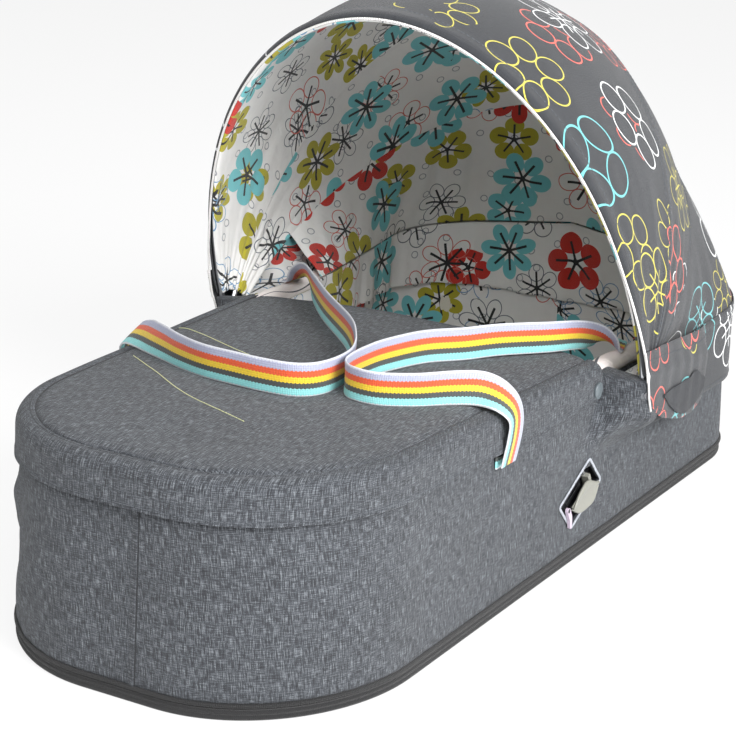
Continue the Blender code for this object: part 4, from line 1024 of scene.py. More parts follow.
white_print = lining_print("white_print", linear(247, 246, 244))
rim_cotton = rim_print("rim_cotton")
ROLL_OPENING_DEG = 110.0
ROLL_ROWS = 17


def roll_row(angle, radius):
    plain = ring(ROLL_OFFSET)
    further = ring(ROLL_OFFSET + MM)
    row = []
    for point, far in zip(plain, further):
        out = (far - point) / MM
        z = roll_height(point.y)
        place = point + out * (lean(z, point.y) + radius * math.sin(angle))
        row.append((*place, z + radius * math.cos(angle)))
    return row


half_turn = math.radians(180 - ROLL_OPENING_DEG / 2)
grid = [roll_row(half_turn - 2 * half_turn * r / (ROLL_ROWS - 1), ROLL_OUTER)
        for r in range(ROLL_ROWS)]


def roll_pucker(down, across, place):
    pucker = wave((place[0] * 0.5, place[1], place[2] * 0.2), 0.0062, 3.3) * 0.38
    bare = math.exp(-((place[1] - 0.066) / 0.016) ** 2)
    return (pucker * (1 + bare) - 0.3 + 1.6 * bare) * MM


roll_grid = rippled(grid, roll_pucker, True, -1)
roll = cut_cloth("rim_padding", roll_grid, rim_cotton, 3.0 * MM, 1, closed=True)
belongs(roll, "tub", "white_cloth", "rim_roll")


steel = grained("drawn_steel", linear(198, 200, 204), 420.0, 5.0, (0.8, 1.0), (0.22, 0.2, 0.1),
                0.00005, 28.0, 1.0)
steel_nodes = ["rim_tube", "rear_hoop", "bow_front", "bow_middle", "bow_rear"]
for side, word in SIDES:
    steel_nodes += [name + word for name in ("clip_spring_", "lever_pin_", "hinge_pin_",
                                             "snap_socket_", "snap_stud_")]
    steel_nodes += ["bracket_rivet_" + word + end for end in ("_front", "_back")]
for node in steel_nodes:
    paint_node(node, steel)

# The inside: printed cotton down the wall, and a quilted mattress on the base board.
LINING_OFFSET = -10.2 * MM
LINING_LOW = 6.8 * MM
LINING_TOP_DROP = 5.5 * MM
LINING_ROWS = 20


def lining_row(share):
    return leaning_row(ring, LINING_OFFSET - 1.2 * MM,
                       rising(LINING_LOW, LINING_TOP_DROP, share, roll_height))


grid = [lining_row(1 - r / (LINING_ROWS - 1)) for r in range(LINING_ROWS)]


def lining_sag(down, across, place):
    held = math.sin(math.pi * down)
    run = Vector((place[0], place[1], place[2] * 0.3))
    above = unit((place[2] - 0.05) / 0.02)
    return (wave(run, 0.05, 14.1) * 1.6 + wave(run, 0.018, 2.6) * 0.5 - 0.4) * MM * held * above


lining_grid = rippled(grid, lining_sag, True, -1)[:, ::-1]
lining = cut_cloth("cot_lining", lining_grid, white_print, 1.0 * MM, -1, closed=True)
belongs(lining, "tub", "white_cloth", "lining")
declare_cloth(lining, lining_grid, ["wall_foam"])

MATTRESS_LOW = 6.3 * MM
MATTRESS_THICKNESS = 36 * MM
QUILT_PITCH = 0.062
QUILT_DEPTH = 2.6 * MM


def quilted_cotton(name, shade):
    """White cotton, quilted in diamonds with sunk stitch lines."""
    finish, t, u, v = new_cloth(name)
    weave = crossed(u, v, 0.0008)
    first = abs(((u + v) % QUILT_PITCH) - QUILT_PITCH / 2) < 0.0006
    second = abs(((u - v) % QUILT_PITCH) - QUILT_PITCH / 2) < 0.0006
    dust = yarn(u, v, 50, 50, 3.0)
    tone = dust.tint(shaded(shade, 0.92), shade)
    tone = ((first + second) > 0.5).tint(tone, linear(196, 194, 190))
    return settle_finish(finish, t, tone, 0.85 + (dust - 0.5) * 0.2, weave * 0.15 + dust * 1.2,
                         0.0008, sheen=0.1)


white_quilt = quilted_cotton("white_quilt", linear(238, 236, 231))
edge = LINING_OFFSET - 2.4 * MM - 1.9 * MM
outline = ring(edge)
middle_y = [point.y * 0.86 for point in outline]
profile = [(0.0, 0.0), (0.35, 0.0), (0.7, 0.0), (0.93, 0.0), (0.985, 0.0), (1.0, 0.08),
           (1.0, 0.3), (1.0, 0.5), (1.0, 0.72), (0.997, 0.9), (0.985, 0.97), (0.96, 1.0)]
profile += [(0.92 - 0.92 * k / 22, 1.0) for k in range(23)]
mattress_grid = np.array([[(p.x * scale, spine + (p.y - spine) * scale,
                            MATTRESS_LOW + MATTRESS_THICKNESS * level)
                           for p, spine in zip(outline, middle_y)] for scale, level in profile])
x, y, z = np.moveaxis(mattress_grid, 2, 0)
puff = np.prod([1 - (1 - np.abs((run / QUILT_PITCH) % 1 - 0.5) * 2) ** 6 for run in (x + y, x - y)],
               axis=0)
mattress_grid[:, :, 2] += (z > MATTRESS_LOW + MATTRESS_THICKNESS * 0.95) * (puff - 1) * QUILT_DEPTH
looped = np.hstack([mattress_grid, mattress_grid[:, :1]])
mattress = cut_cloth("cot_mattress", mattress_grid, white_quilt, 0, 1, True, 1,
                     (looped[:, :, 0], looped[:, :, 1]))
shell = bmesh.new()
shell.from_mesh(mattress.data)
bmesh.ops.remove_doubles(shell, verts=shell.verts, dist=0.05 * MM)
holes = [e for e in shell.edges if e.is_boundary]
if holes:
    bmesh.ops.holes_fill(shell, edges=holes)
bmesh.ops.recalc_face_normals(shell, faces=shell.faces)
shell.to_mesh(mattress.data)
shell.free()
belongs(mattress, "tub", "white_cloth", "mattress_cover", "mattress_core")

# The hood's three panels of printed slate cloth, each stretched between two wire bows and sewn to
# them in channels, with a printed cotton lining under it.
HINGE_Y = 0.056
HINGE_HEIGHT = 0.138
HINGE_HALF_WIDTH = 0.2030
BOW_PITCH = 5.8 * MM
BOW_HALF_WIDTH = 0.211
BOWS = {"front": (0, 0.314, 18.6), "middle": (1, 0.320, -28.8), "rear": (2, 0.338, -59.3)}
HOOD_SAG = 5 * MM
HOOD_REACH = 18 * MM
HOOD_STANDOFF = 3 * MM
HOOD_CLOTH = 1.2 * MM
MOUTH_LIP = ((1.60, 0.30), (1.35, 0.62), (0.9, 0.88), (0.35, 1.0))
HOOD_COLUMNS = 120
HOOD_ROWS = 32
CHANNEL = 7 * MM


def slate_print(name, dark, ground):
    """Slate cloth, printed in thin coloured lines with open daisies, rings and spokes."""
    finish, t, u, v = new_cloth(name)
    warp = yarn(u, v, 900, 90, 3.0)
    weft = yarn(u, v, 90, 900, 3.0)
    broad = yarn(u, v, 3, 26, 2.0)
    base = ((warp + weft - 1.0) * 1.1 + broad * 0.7 + 0.15).clamped().tint(dark, ground)
    large = motif(t, 0.104, 4.0, (0.13, 0.71, 0), 0.45)
    small = motif(t, 0.090, 5.0, (4.6, 2.3, 0), 0.5)
    yellow, aqua = linear(188, 178, 70), linear(100, 176, 180)
    coral, white = linear(214, 92, 78), linear(222, 224, 224)
    pen = (large["chance"] > 0.3).tint(yellow, aqua)
    pen = (large["chance"] > 0.55).tint(pen, coral)
    pen = (large["chance"] > 0.75).tint(pen, white)
    outline = between(large["petal"], 0.925, 1.03) * (large["pick"] > 0.06)
    spokes = (abs(large["across"]) < 0.008) * (large["reach"] < 0.20) * (large["along"] < -0.02)
    thin = (small["chance"] > 0.4).tint(yellow, coral)
    thin = (small["chance"] > 0.7).tint(thin, white)
    rings = between(small["petal"], 0.92, 1.03) * (small["pick"] > 0.62) * (large["petal"] > 1.15)
    colour = outline.tint(base, pen)
    colour = (spokes * (large["pick"] > 0.4)).tint(colour, pen)
    colour = rings.tint(colour, thin)
    weave = crossed(u, v, 0.0009)
    return settle_finish(finish, t, colour, 0.78 + (broad - 0.5) * 0.2,
                         weave * 0.2 + (warp + weft) * 0.6, 0.0004, sheen=0.2)


slate_cloth = slate_print("slate_print", linear(20, 22, 26), linear(41, 44, 50))


def bow_point(angle, level, height, tilt_deg, standoff=0.0):
    """A point of a bow: angle 0 at the right hinge, half a turn at the left one."""
    rise = abs(math.sin(angle))
    full = HINGE_HALF_WIDTH - level * BOW_PITCH
    half = BOW_HALF_WIDTH - (BOW_HALF_WIDTH - full) * (1 - rise) ** 2 + standoff
    reach = (height + standoff) * rise
    tilt = math.radians(tilt_deg)
    return Vector((half * math.cos(angle), HINGE_Y - reach * math.sin(tilt),
                   HINGE_HEIGHT + reach * math.cos(tilt)))


def bow_angles(reach, height, steps=HOOD_COLUMNS):
    first = math.asin(reach / height)
    return [first + (math.pi - 2 * first) * step / steps for step in range(steps + 1)]


def hood_point(first, last, share, angle, standoff, margin):
    level_a, height_a, tilt_a = BOWS[first]
    level_b, height_b, tilt_b = BOWS[last]
    rise = abs(math.sin(angle))
    reach = height_a * rise
    start = tilt_a - math.degrees(math.asin(min(0.9, margin / reach)))
    span = reach * math.radians(tilt_a - tilt_b)
    near = min(share, 1 - share) * span
    standoff *= 0.55 + 0.45 * math.exp(-(near / CHANNEL) ** 2)
    height = height_a + (height_b - height_a) * share
    sag = HOOD_SAG * math.sin(math.pi * share) * rise
    return bow_point(angle, level_a + (level_b - level_a) * share, height - sag,
                     start + (tilt_b - start) * share, standoff)


def hood_ripple(seed, depth=1.0):
    """Soft dents between the bows, and creases that run out from the hinges."""
    def height(down, across, place):
        reach = math.hypot(place[1] - HINGE_Y, place[2] - HINGE_HEIGHT)
        turn = math.atan2(place[1] - HINGE_Y, place[2] - HINGE_HEIGHT)
        held = math.sin(math.pi * unit(down)) ** 0.8
        fan = wave((turn * 0.22, reach * 0.10, place[0] * 0.15), 0.028, seed) * 2.6 * MM
        fan *= max(0.0, 1 - reach / 0.30)
        soft = wave((place[0], place[1], place[2]), 0.055, seed + 4) * 1.1 * MM
        pucker = wave(place, 0.009, seed + 2) * 0.3 * MM * math.exp(-min(down, 1 - down) * 24)
        sharp = 1 - abs(wave((turn * 0.26, reach * 0.06, 0.3), 0.024, seed + 8))
        fan += (sharp ** 6) * 2.0 * MM * max(0.0, 1 - reach / 0.26)
        return ((fan + soft) * held) * depth + pucker
    return height


def tilt_of(place):
    return math.degrees(math.atan2(HINGE_Y - place[1], place[2] - HINGE_HEIGHT))


def weigh(piece, a, b, start, end, weights):
    """Bakes the piece's placement into its mesh and clips the weights to 0 to 1, which nothing
    takes further; a, b, start and end are not used.
    """
    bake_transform(piece)
    values = np.clip(weights, 0, 1).astype(np.float32)


def fan(piece, first, last, ahead, behind):
    """Bakes the piece and hands weigh() each point's share of the way from its last bow's tilt to
    its first's.
    """
    baked(piece)
    tilt_a, tilt_b = BOWS[first][2], BOWS[last][2]
    weights = [(tilt_of(v.co) - tilt_b) / (tilt_a - tilt_b) for v in piece.data.vertices]
    top_a = bow_point(math.pi / 2, *BOWS[first])
    top_b = bow_point(math.pi / 2, *BOWS[last])
    weigh(piece, behind, ahead, top_b, top_a, np.array(weights))


def share_rows(count):
    return [0.5 - 0.5 * math.cos(math.pi * row / count) for row in range(count + 1)]


def lip_turn(angle, ahead, lining):
    """How far the mouth's lip turns ahead of the front bow; the lining's is short by the hinges."""
    rise = math.sin(angle)
    kept = min(1.0, rise / 0.45) if lining else 1.0
    reach = ahead * kept * HOOD_STANDOFF / BOWS["front"][1]
    return math.degrees(math.asin(reach / max(rise, 0.1)))


HOOD_PANELS = (("front", "middle", "hood_front", "hood_middle", 1.5 * MM, 3.0),
               ("middle", "rear", "hood_middle", "hood_rear", 0.0, 11.0))
HOOD_CLOTHS = (("canopy", HOOD_STANDOFF, -1, slate_cloth, "slate_cloth"),
               ("hood_lining", -HOOD_STANDOFF, 1, white_print, "white_cloth"))
bow_threads = []
for first, last, ahead, behind, margin, seed in HOOD_PANELS:
    angles = bow_angles(HOOD_REACH, BOWS[first][1])
    for word, standoff, side, finish, slot in HOOD_CLOTHS:
        grid = [[hood_point(first, last, share, a, standoff, margin) for a in angles]
                for share in share_rows(HOOD_ROWS)]
        grid = rippled(grid, hood_ripple(seed, 1.0 if word == "canopy" else 1.9), out=-1)
        if first == "front":
            level, height, tilt = BOWS["front"]
            lip = [[bow_point(a, level, height, tilt + lip_turn(a, lead, word != "canopy"),
                              standoff * share) for a in angles] for lead, share in MOUTH_LIP]
            grid = np.vstack([np.array(lip, float), grid])
        panel = cut_cloth("%s_cloth_%s" % (word, first), grid, finish, HOOD_CLOTH, side,
                          shift=seed / 7)
        fan(panel, first, last, ahead, behind)
        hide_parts("%s_%s" % (word, first))
        declare_cloth(panel, grid, ["bow_" + first, "bow_" + last])
        if word == "canopy":
            face = grid - normals(grid, False) * (HOOD_CLOTH + 0.1 * MM)
            bow_threads += [(ahead, face[8 if first == "front" else 4]), (behind, face[-5])]
for index, (body, line) in enumerate(bow_threads):
    sew("bow_channel_stitches_%d" % index, [line], grey_thread, body, "slate_cloth", 3.0 * MM,
        1.6 * MM, 0.3 * MM)

# The hood's back: a slate panel gathered from the rear bow down to a steel hoop, and a skirt that
# hangs from the hoop round the cot's head end.
SKIRT_STANDOFF = 4 * MM
SKIRT_TOP_SIDE = 0.138
SKIRT_TOP_REAR = 0.176
SKIRT_HEM_FRONT = 0.127
SKIRT_HEM_SIDE = 0.082
SKIRT_HEM_REAR = 0.072
SKIRT_FALL = 0.167
REAR_BULGE = 5 * MM
REAR_LINING_REACH = 0.105


def resampled(points, shares):
    points = np.array(points, float)
    run = length_shares(points)
    return np.stack([np.interp(shares, run, points[:, k]) for k in range(3)], axis=1)


def length_shares(points):
    points = np.array(points, float)
    run = np.concatenate([[0], np.cumsum(np.linalg.norm(np.diff(points, axis=0), axis=1))])
    return run / run[-1]


def head_row(offset, height):
    """A row round the head end; the height is a function of the share of the way to its rear."""
    run = length_shares([(p.x, p.y, 0) for p in head_run(offset)])
    ends = [min(share, 1 - share) * 2 for share in run]
    return leaning_row(head_run, offset, lambda index, y: height(ends[index]))


def skirt_top(share):
    return SKIRT_TOP_SIDE + (SKIRT_TOP_REAR - SKIRT_TOP_SIDE) * share ** 3


def skirt_hem(share):
    drop = min(1, share / SKIRT_FALL)
    side = SKIRT_HEM_FRONT + (SKIRT_HEM_SIDE - SKIRT_HEM_FRONT) * math.sin(drop * math.pi / 2)
    return side + (SKIRT_HEM_REAR - SKIRT_HEM_SIDE) * share


def rear_grid(upper, lower, bulge, steps):
    grid = []
    for step in range(steps + 1):
        share = step / steps
        row = []
        for high, low in zip(upper, lower):
            place = Vector(high).lerp(Vector(low), share)
            away = Vector((place.x * 0.35, place.y - HINGE_Y, (high[2] - low[2]) * 0.6))
            span = min(1, math.dist(high, low) / (20 * MM))
            row.append(place + away.normalized() * bulge * math.sin(math.pi * share) * span)
        grid.append(row)
    return grid


def rear_gather(down, across, place):
    """Gathers that grow towards the hoop."""
    run = math.atan2(place[0], place[1] - 0.1)
    folds = math.sin(run * 46 + 2.2 * wave(place, 0.10, 5.0)) + 0.5 * math.sin(run * 97 + 1.7)
    return folds * 1.0 * MM * math.sin(math.pi * unit(down)) * (0.35 + 0.65 * down)


level, height, tilt = BOWS["rear"]
angles = bow_angles(HOOD_REACH, height)
upper = [bow_point(a, level, height, tilt, HOOD_STANDOFF) for a in angles]
rim = head_row(SKIRT_STANDOFF + 1.2 * MM, lambda s: skirt_top(s) + 5.2 * MM)[::-1]
back_grid = rippled(rear_grid(upper, resampled(rim, length_shares(upper)), REAR_BULGE, 26),
                    rear_gather, out=-1)
back = cut_cloth("canopy_cloth_rear", back_grid, slate_cloth, HOOD_CLOTH, -1, shift=2.7)
facing_grid = back_grid + normals(back_grid, False) * 0.4 * MM
facing = cut_cloth("hood_back_facing", facing_grid, white_print, 0.7 * MM, 1, shift=4.4)
angles = bow_angles(REAR_LINING_REACH, height)
upper = [bow_point(a, level, height, tilt, -HOOD_STANDOFF) for a in angles]


def curtain_top(share):
    roll_top = RIM_HEIGHT_HEAD + 0.3 * MM
    return roll_top + (0.186 - roll_top) * share ** 2


def curtain_line(height):
    return [place for place in head_row(-17.5 * MM, height) if place[1] > 0.145]


lower = resampled(curtain_line(curtain_top)[::-1], length_shares(upper)) + (0, 0, 1.2 * MM)
inner_grid = rippled(rear_grid(upper, lower, REAR_BULGE / 2, 26), rear_gather, out=-2.0)
inner = cut_cloth("hood_lining_cloth_rear", inner_grid, white_print, HOOD_CLOTH, 1, shift=3.3)
for panel, grid, slot, node in ((back, back_grid, "slate_cloth", "canopy_rear"),
                                (facing, facing_grid, "white_cloth", None),
                                (inner, inner_grid, "white_cloth", "hood_lining_rear")):
    baked(panel)
    tops, lows = grid[0], grid[-1]
    points = np.array([v.co[:] for v in panel.data.vertices])
    weights = []
    for point in points:
        high = np.linalg.norm(tops - point, axis=1).min()
        low = np.linalg.norm(lows - point, axis=1).min()
        weights.append(low / max(low + high, 1e-6))
    weigh(panel, "tub", "hood_rear", Vector(lows[60]), Vector(tops[60]), np.array(weights))
    if node:
        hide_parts(node)
    declare_cloth(panel, grid, ["bow_rear", "rear_hoop"])

rows = []
for step in range(17):
    share = step / 16
    stand = (5.4 + 2.3 * share ** 1.5) * MM
    rows.append(head_row(stand, lambda s: skirt_hem(s)
                         + (skirt_top(s) - 0.6 * MM - skirt_hem(s)) * share))
for lift, offset in ((0.4, 7.9), (1.3, 8.1), (2.3, 8.2), (3.6, 8.1), (5.2, 7.9), (6.8, 7.7)):
    rows.append(head_row(offset * MM, lambda s: skirt_top(s) + lift * MM))


def skirt_flow(down, across, place):
    free = max(0.0, 1 - down / 0.7)
    drape = wave((place[0], place[1], place[2] * 0.25), 0.05, 6.6) * 1.6 * MM
    return (drape + 0.8 * MM) * free + wave(place, 0.010, 1.4) * 0.25 * MM


hood_skirt_grid = rippled(rows, skirt_flow, out=-1)
hood_skirt = cut_cloth("hood_skirt_cloth", hood_skirt_grid, slate_cloth, 1.0 * MM, 1, shift=5.1)
belongs(hood_skirt, "tub", "slate_cloth", "hood_skirt")
declare_cloth(hood_skirt, hood_skirt_grid, ["rear_hoop"])
outward = -normals(hood_skirt_grid, False)
lines = [hood_skirt_grid[row] + outward[row] * 0.1 * MM for row in (1, 16)]
sew("hood_skirt_stitches", lines, grey_thread, "tub", "slate_cloth")

# The hood's side cloths: slate print that hangs over each hinge from the mouth's edge to the back
# of the side, with a piped front edge and a plain slate flap sewn across its hem. A boot of grey
# cloth closes the gap between its front edge and the cover.
SIDE_Y = (0.044, 0.060, 0.090, 0.120, 0.150, 0.180, 0.200, 0.230, 0.244)
SIDE_TOP = (0.178, 0.176, 0.172, 0.168, 0.163, 0.158, 0.155, 0.150, 0.148)
SIDE_TOP_REACH = (0.2092, 0.2090, 0.2062, 0.2047, 0.2018, 0.1994, 0.1978, 0.1922, 0.1892)
SIDE_HEM = (0.121, 0.118, 0.106, 0.097, 0.088, 0.083, 0.082, 0.087, 0.091)
SIDE_REACH = (0.2105, 0.2110, 0.2108, 0.2095, 0.2075, 0.2050, 0.2035, 0.2010, 0.1995)
SIDE_COLUMNS = 56
SIDE_ROWS = 22
BOOT_LOW = 0.074
BOOT_TOP = 0.1505
BOOT_REACH = 0.2088
BOOT_SINK = 16 * MM
BOOT_LID = 5.5 * MM
slate_plain = mottled_cloth("slate_plain", linear(18, 19, 23), linear(34, 36, 41),
                            linear(60, 63, 70))


def plain_cotton(name, shade):
    """Close white cotton tape."""
    finish, t, u, v = new_cloth(name)
    rib = ribbed(u, 0.0022)
    dust = yarn(u, v, 120, 120, 3.0)
    tone = dust.tint(shaded(shade, 0.80), shade)
    return settle_finish(finish, t, tone, 0.8 + (dust - 0.5) * 0.2, rib * 0.5 + dust, 0.0005,
                         sheen=0.1)


white_tape = plain_cotton("white_tape", linear(236, 234, 232))


def crumple(piece):
    """Bakes the piece's modifiers and gives it a mesh of its own."""
    baked(piece)
    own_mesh(piece)


def side_front(z):
    """Where the side cloth's front edge lies at a height."""
    return float(np.interp(z, (0.119, 0.134, 0.166, 0.178), (0.0645, 0.0545, 0.0415, 0.0370)))


def side_place(share, down, stand=0.0):
    """A point of the right side cloth, from its front edge back and from its top down."""
    y = SIDE_Y[0] + (SIDE_Y[-1] - SIDE_Y[0]) * share
    top, hem = np.interp(y, SIDE_Y, SIDE_TOP), np.interp(y, SIDE_Y, SIDE_HEM)
    z = top + (hem - top) * down
    y += (side_front(z) - SIDE_Y[0]) * (1 - share) ** 6
    low = np.interp(y, SIDE_Y, SIDE_REACH) - 2.5 * MM * down ** 2
    low -= 7 * MM * max(0.0, share - 0.9) / 0.1
    fall = min(1.0, down * (top - hem) / (26 * MM))
    reach = np.interp(y, SIDE_Y, SIDE_TOP_REACH) * (1 - fall) + low * fall
    reach += 1.1 * MM * math.exp(-((down * (top - hem) - 21 * MM) / (3.5 * MM)) ** 2)
    drape = wave((y, z * 0.4, 0.2), 0.030, 3.3) * 1.4 * MM + math.sin(y * 210) * 0.5 * MM
    return (reach + stand + drape * math.sin(math.pi * min(1, 0.15 + down * 0.7))
            * min(1, share * 8), y, z)


def flap_place(y, down, side):
    """A point of the plain flap, which lies on the side cloth."""
    top = np.interp(y, (0.086, 0.183, 0.216), (0.1295, 0.1245, 0.1080))
    low = np.interp(y, (0.086, 0.095, 0.108, 0.130, 0.158, 0.184, 0.206, 0.216),
                    (0.1275, 0.1220, 0.1130, 0.1000, 0.0905, 0.0895, 0.0935, 0.1000))
    z = top + (low - top) * down
    head, hem = np.interp(y, SIDE_Y, SIDE_TOP), np.interp(y, SIDE_Y, SIDE_HEM)
    x = side_place((y - SIDE_Y[0]) / (SIDE_Y[-1] - SIDE_Y[0]), (head - z) / (head - hem),
                   1.9 * MM)[0]
    return x * side, y, z


for side, word in SIDES:
    grid = np.array([[side_place(c / SIDE_COLUMNS, r / SIDE_ROWS) for c in range(SIDE_COLUMNS + 1)]
                     for r in range(SIDE_ROWS + 1)]) * (side, 1, 1)
    cloth = cut_cloth("hood_side_cloth_" + word, grid, slate_cloth, 1.2 * MM, side,
                      shift=1.9 + side)
    belongs(cloth, "tub", "slate_cloth")
    declare_cloth(cloth, grid, ["hood_skirt_cloth"])
    crumple(cloth)
    face = grid + (0.2 * MM * side, 0, 0)
    seams = sew("hood_side_stitches_" + word, [face[3], face[-3]], grey_thread, "tub",
                "slate_cloth", radius=0.25 * MM)
    crumple(seams)
    edge = [Vector(q) + Vector((0.2 * MM * side, -0.6 * MM, 0)) for q in grid[:, 0]]
    piping = swept("side_piping_" + word, edge, round_outline(0.8 * MM, 0.9 * MM), white_tape,
                   (side, 0, 0))
    belongs(piping, "tub", "white_cloth")
    crumple(piping)

    rows = [[flap_place(0.086 + 0.130 * c / 30, r / 10, side) for c in range(31)]
            for r in range(11)]
    flap = cut_cloth("side_flap_" + word, rows, slate_plain, 1.1 * MM, side)
    belongs(flap, "tub", "slate_cloth")
    declare_cloth(flap, rows, ["hood_side_cloth_" + word])
    crumple(flap)

    rows = []
    for r in range(14):
        share = r / 13
        z = BOOT_LOW + (BOOT_TOP - BOOT_LOW) * share
        front = side_front(z)
        swell = eased((z - 0.078) / 0.044)
        start = 0.0365 - 0.034 * unit((0.133 - z) / 0.03)
        course = ((0.0, start), (0.07, start + (front - 5 * MM - start) * 0.4),
                  (0.58, min(front - 5 * MM, 0.0430)), (0.96, front - 0.5 * MM),
                  (1.0, front + 5 * MM), (0.92, front + 26 * MM), (0.42, front + 48 * MM),
                  (0.0, front + 66 * MM))
        line = []
        for q in smooth_line([(out, y, z) for out, y in course], 7):
            wall = half_width_at(q.y, lean(min(z, 0.15), q.y)) - 0.2 * MM
            sink = BOOT_SINK * share * eased((q.y - 0.052) / 0.03)
            x = wall + (BOOT_REACH - wall) * max(0.0, q.x) * swell
            line.append((x * side, q.y, q.z - sink))
        rows.append(line)
    upper = rows[-1]
    for share in (0.08, 0.2, 0.35, 0.5, 0.7, 0.9):
        line = []
        for x, y, z in upper:
            wall = half_width_at(y, lean(0.15, y)) - 8 * MM
            line.append((x + (wall * side - x) * share, y, z + BOOT_LID * math.sin(share * 1.5)))
        rows.append(line)
    boot_grid = rippled(rows, lambda r, c, q: wave(q, 0.021, 8.8) * 0.5 * MM, out=side)
    across, down = cloth_lengths(boot_grid, False)
    even = (np.tile(across.mean(axis=0), (len(across), 1)),
            np.tile(down.mean(axis=1)[:, None], (1, len(down[0]))))
    boot = cut_cloth("hinge_boot_" + word, boot_grid, grey_cloth, 1.2 * MM, -side, flat=even)
    belongs(boot, "tub", "grey_cloth")
    declare_cloth(boot, boot_grid, ["cot_cover"])

# The two narrow hem pieces under the side cloths, of plain slate cloth.
FLAP_FRONT_Y = 0.093
FLAP_BACK_Y = 0.196
FLAP_TOP_FRONT = 0.133
FLAP_TOP_BACK = 0.108
FLAP_DROP = 34 * MM
for side, word in SIDES:
    rows = []
    for row in range(13):
        line = []
        for step in range(37):
            share = step / 36
            y = FLAP_FRONT_Y + (FLAP_BACK_Y - FLAP_FRONT_Y) * share
            top = FLAP_TOP_FRONT + (FLAP_TOP_BACK - FLAP_TOP_FRONT) * share
            swell = max(0.0, math.sin(math.pi * min(1, share * 0.85 + 0.15)))
            z = top - FLAP_DROP * (0.30 + 0.70 * swell ** 0.6) * row / 12
            stand = SKIRT_STANDOFF + 5.0 * MM + wave((y, z, 0), 0.03, 3.0) * 0.6 * MM
            line.append((half_width_at(y, stand + lean(z, y)) * side, y, z))
        rows.append(line)
    flap = cut_cloth("hem_flap_cloth_" + word, rows, slate_plain, 1.3 * MM, side)
    belongs(flap, "tub", "slate_cloth", "hem_flap_" + word)
    declare_cloth(flap, rows, ["hood_skirt_cloth"])

# The curtain inside the head end: the lining cotton, gathered on its top edge.
FOLDS = 18
FOLD_STEPS = 14
shares = [step / (FOLDS * FOLD_STEPS) for step in range(FOLDS * FOLD_STEPS + 1)]
top = resampled(curtain_line(curtain_top), shares)
bottom = resampled(curtain_line(lambda s: 0.104), shares)
out = np.gradient(top, axis=0)
out = np.stack([-out[:, 1], out[:, 0], 0 * out[:, 0]], axis=1)
out /= np.linalg.norm(out, axis=1, keepdims=True)
turns = np.array(shares) * FOLDS * TAU
wander = np.array([noise.noise(Vector((share * 23, 0.4, 0.7))) for share in shares])
grid = []
for row in range(13):
    down = row / 12
    fold = np.sin(turns + wander * 2.4 * down) + 0.25 * np.sin(3 * turns + 1.1)
    depth = 2.0 * MM * (0.35 + 0.65 * down)
    grid.append(top + (bottom - top) * down + out * (fold * depth)[:, None])
curtain = cut_cloth("hood_curtain_cloth", grid, white_print, 1.0 * MM, 0, shift=7.9)
belongs(curtain, "tub", "white_cloth", "hood_curtain")
declare_cloth(curtain, grid, ["rim_padding"])

# The mouth's edge: a thin white piping sewn between the slate cloth and the lining, in front of
# the front bow.
PIPING_REACH = 16 * MM
PIPING_AHEAD = 5.2 * MM
PIPING_RADIUS = 1.0 * MM
PIPING_FLARE = 6.6 * MM
level, height, tilt = BOWS["front"]
path = []
ups = []
for angle in bow_angles(PIPING_REACH, height, 150):
    lead = math.degrees(math.asin(min(0.5, PIPING_AHEAD / height / math.sin(angle))))
    place = bow_point(angle, level, height, tilt + lead)
    place.x += math.copysign(PIPING_FLARE, place.x) * math.exp(-((place.z - 0.15) / 0.06) ** 2)
    path.append(place)
    ups.append(Vector((place.x, 0, place.z - HINGE_HEIGHT + 40 * MM)).normalized())
binding = swept("mouth_piping", path, round_outline(PIPING_RADIUS, PIPING_RADIUS * 1.1), white_tape,
                ups)
belongs(binding, "hood_front", "white_cloth", "mouth_binding")

# The carry straps: striped woven webbing that runs from a sewn end on each long side, folds on
# edge along the apron and comes back to the rim under the hood.
WEBBING_WIDTH = 27 * MM
WEBBING = 1.6 * MM
# Each point of a route: x and y as shares of the half width and half length, the lift over the
# apron in widths of the webbing, and the way its upper edge looks.
RIGHT_ROUTE = (
    (0.961, -0.315, -1.62, 0, 1, 0), (0.982, -0.312, -0.7, 0, 1, 0.05),
    (0.984, -0.318, -0.05, -0.05, 0.97, 0.2), (0.944, -0.332, 0.36, 0.1, 0.85, 0.45),
    (0.852, -0.345, 0.55, 0.15, 0.5, 0.85), (0.752, -0.38, 0.55, 0.05, 0.2, 0.98),
    (0.636, -0.442, 0.53, 0, 0, 1), (0.502, -0.487, 0.53, 0, -0.05, 1),
    (0.38, -0.487, 0.53, 0, 0, 1), (0.315, -0.46, 0.53, 0, 0, 1),
    (0.29, -0.42, 0.53, 0, 0, 1), (0.288, -0.36, 0.53, -0.05, 0, 1),
    (0.305, -0.29, 0.53, -0.1, 0.05, 1), (0.375, -0.185, 0.53, -0.15, 0.1, 1),
    (0.496, -0.107, 0.54, -0.15, 0.1, 1), (0.6, -0.04, 0.6, -0.1, 0.05, 1),
    (0.75, 0.055, 0.6, -0.05, -0.1, 1), (0.84, 0.14, 0.52, 0, -0.4, 0.9),
    (0.899, 0.205, 0.25, 0.05, -0.85, 0.45), (0.933, 0.238, 0.04, 0.05, -1, 0.08),
    (0.973, 0.245, -0.04, 0, -1, 0),
)
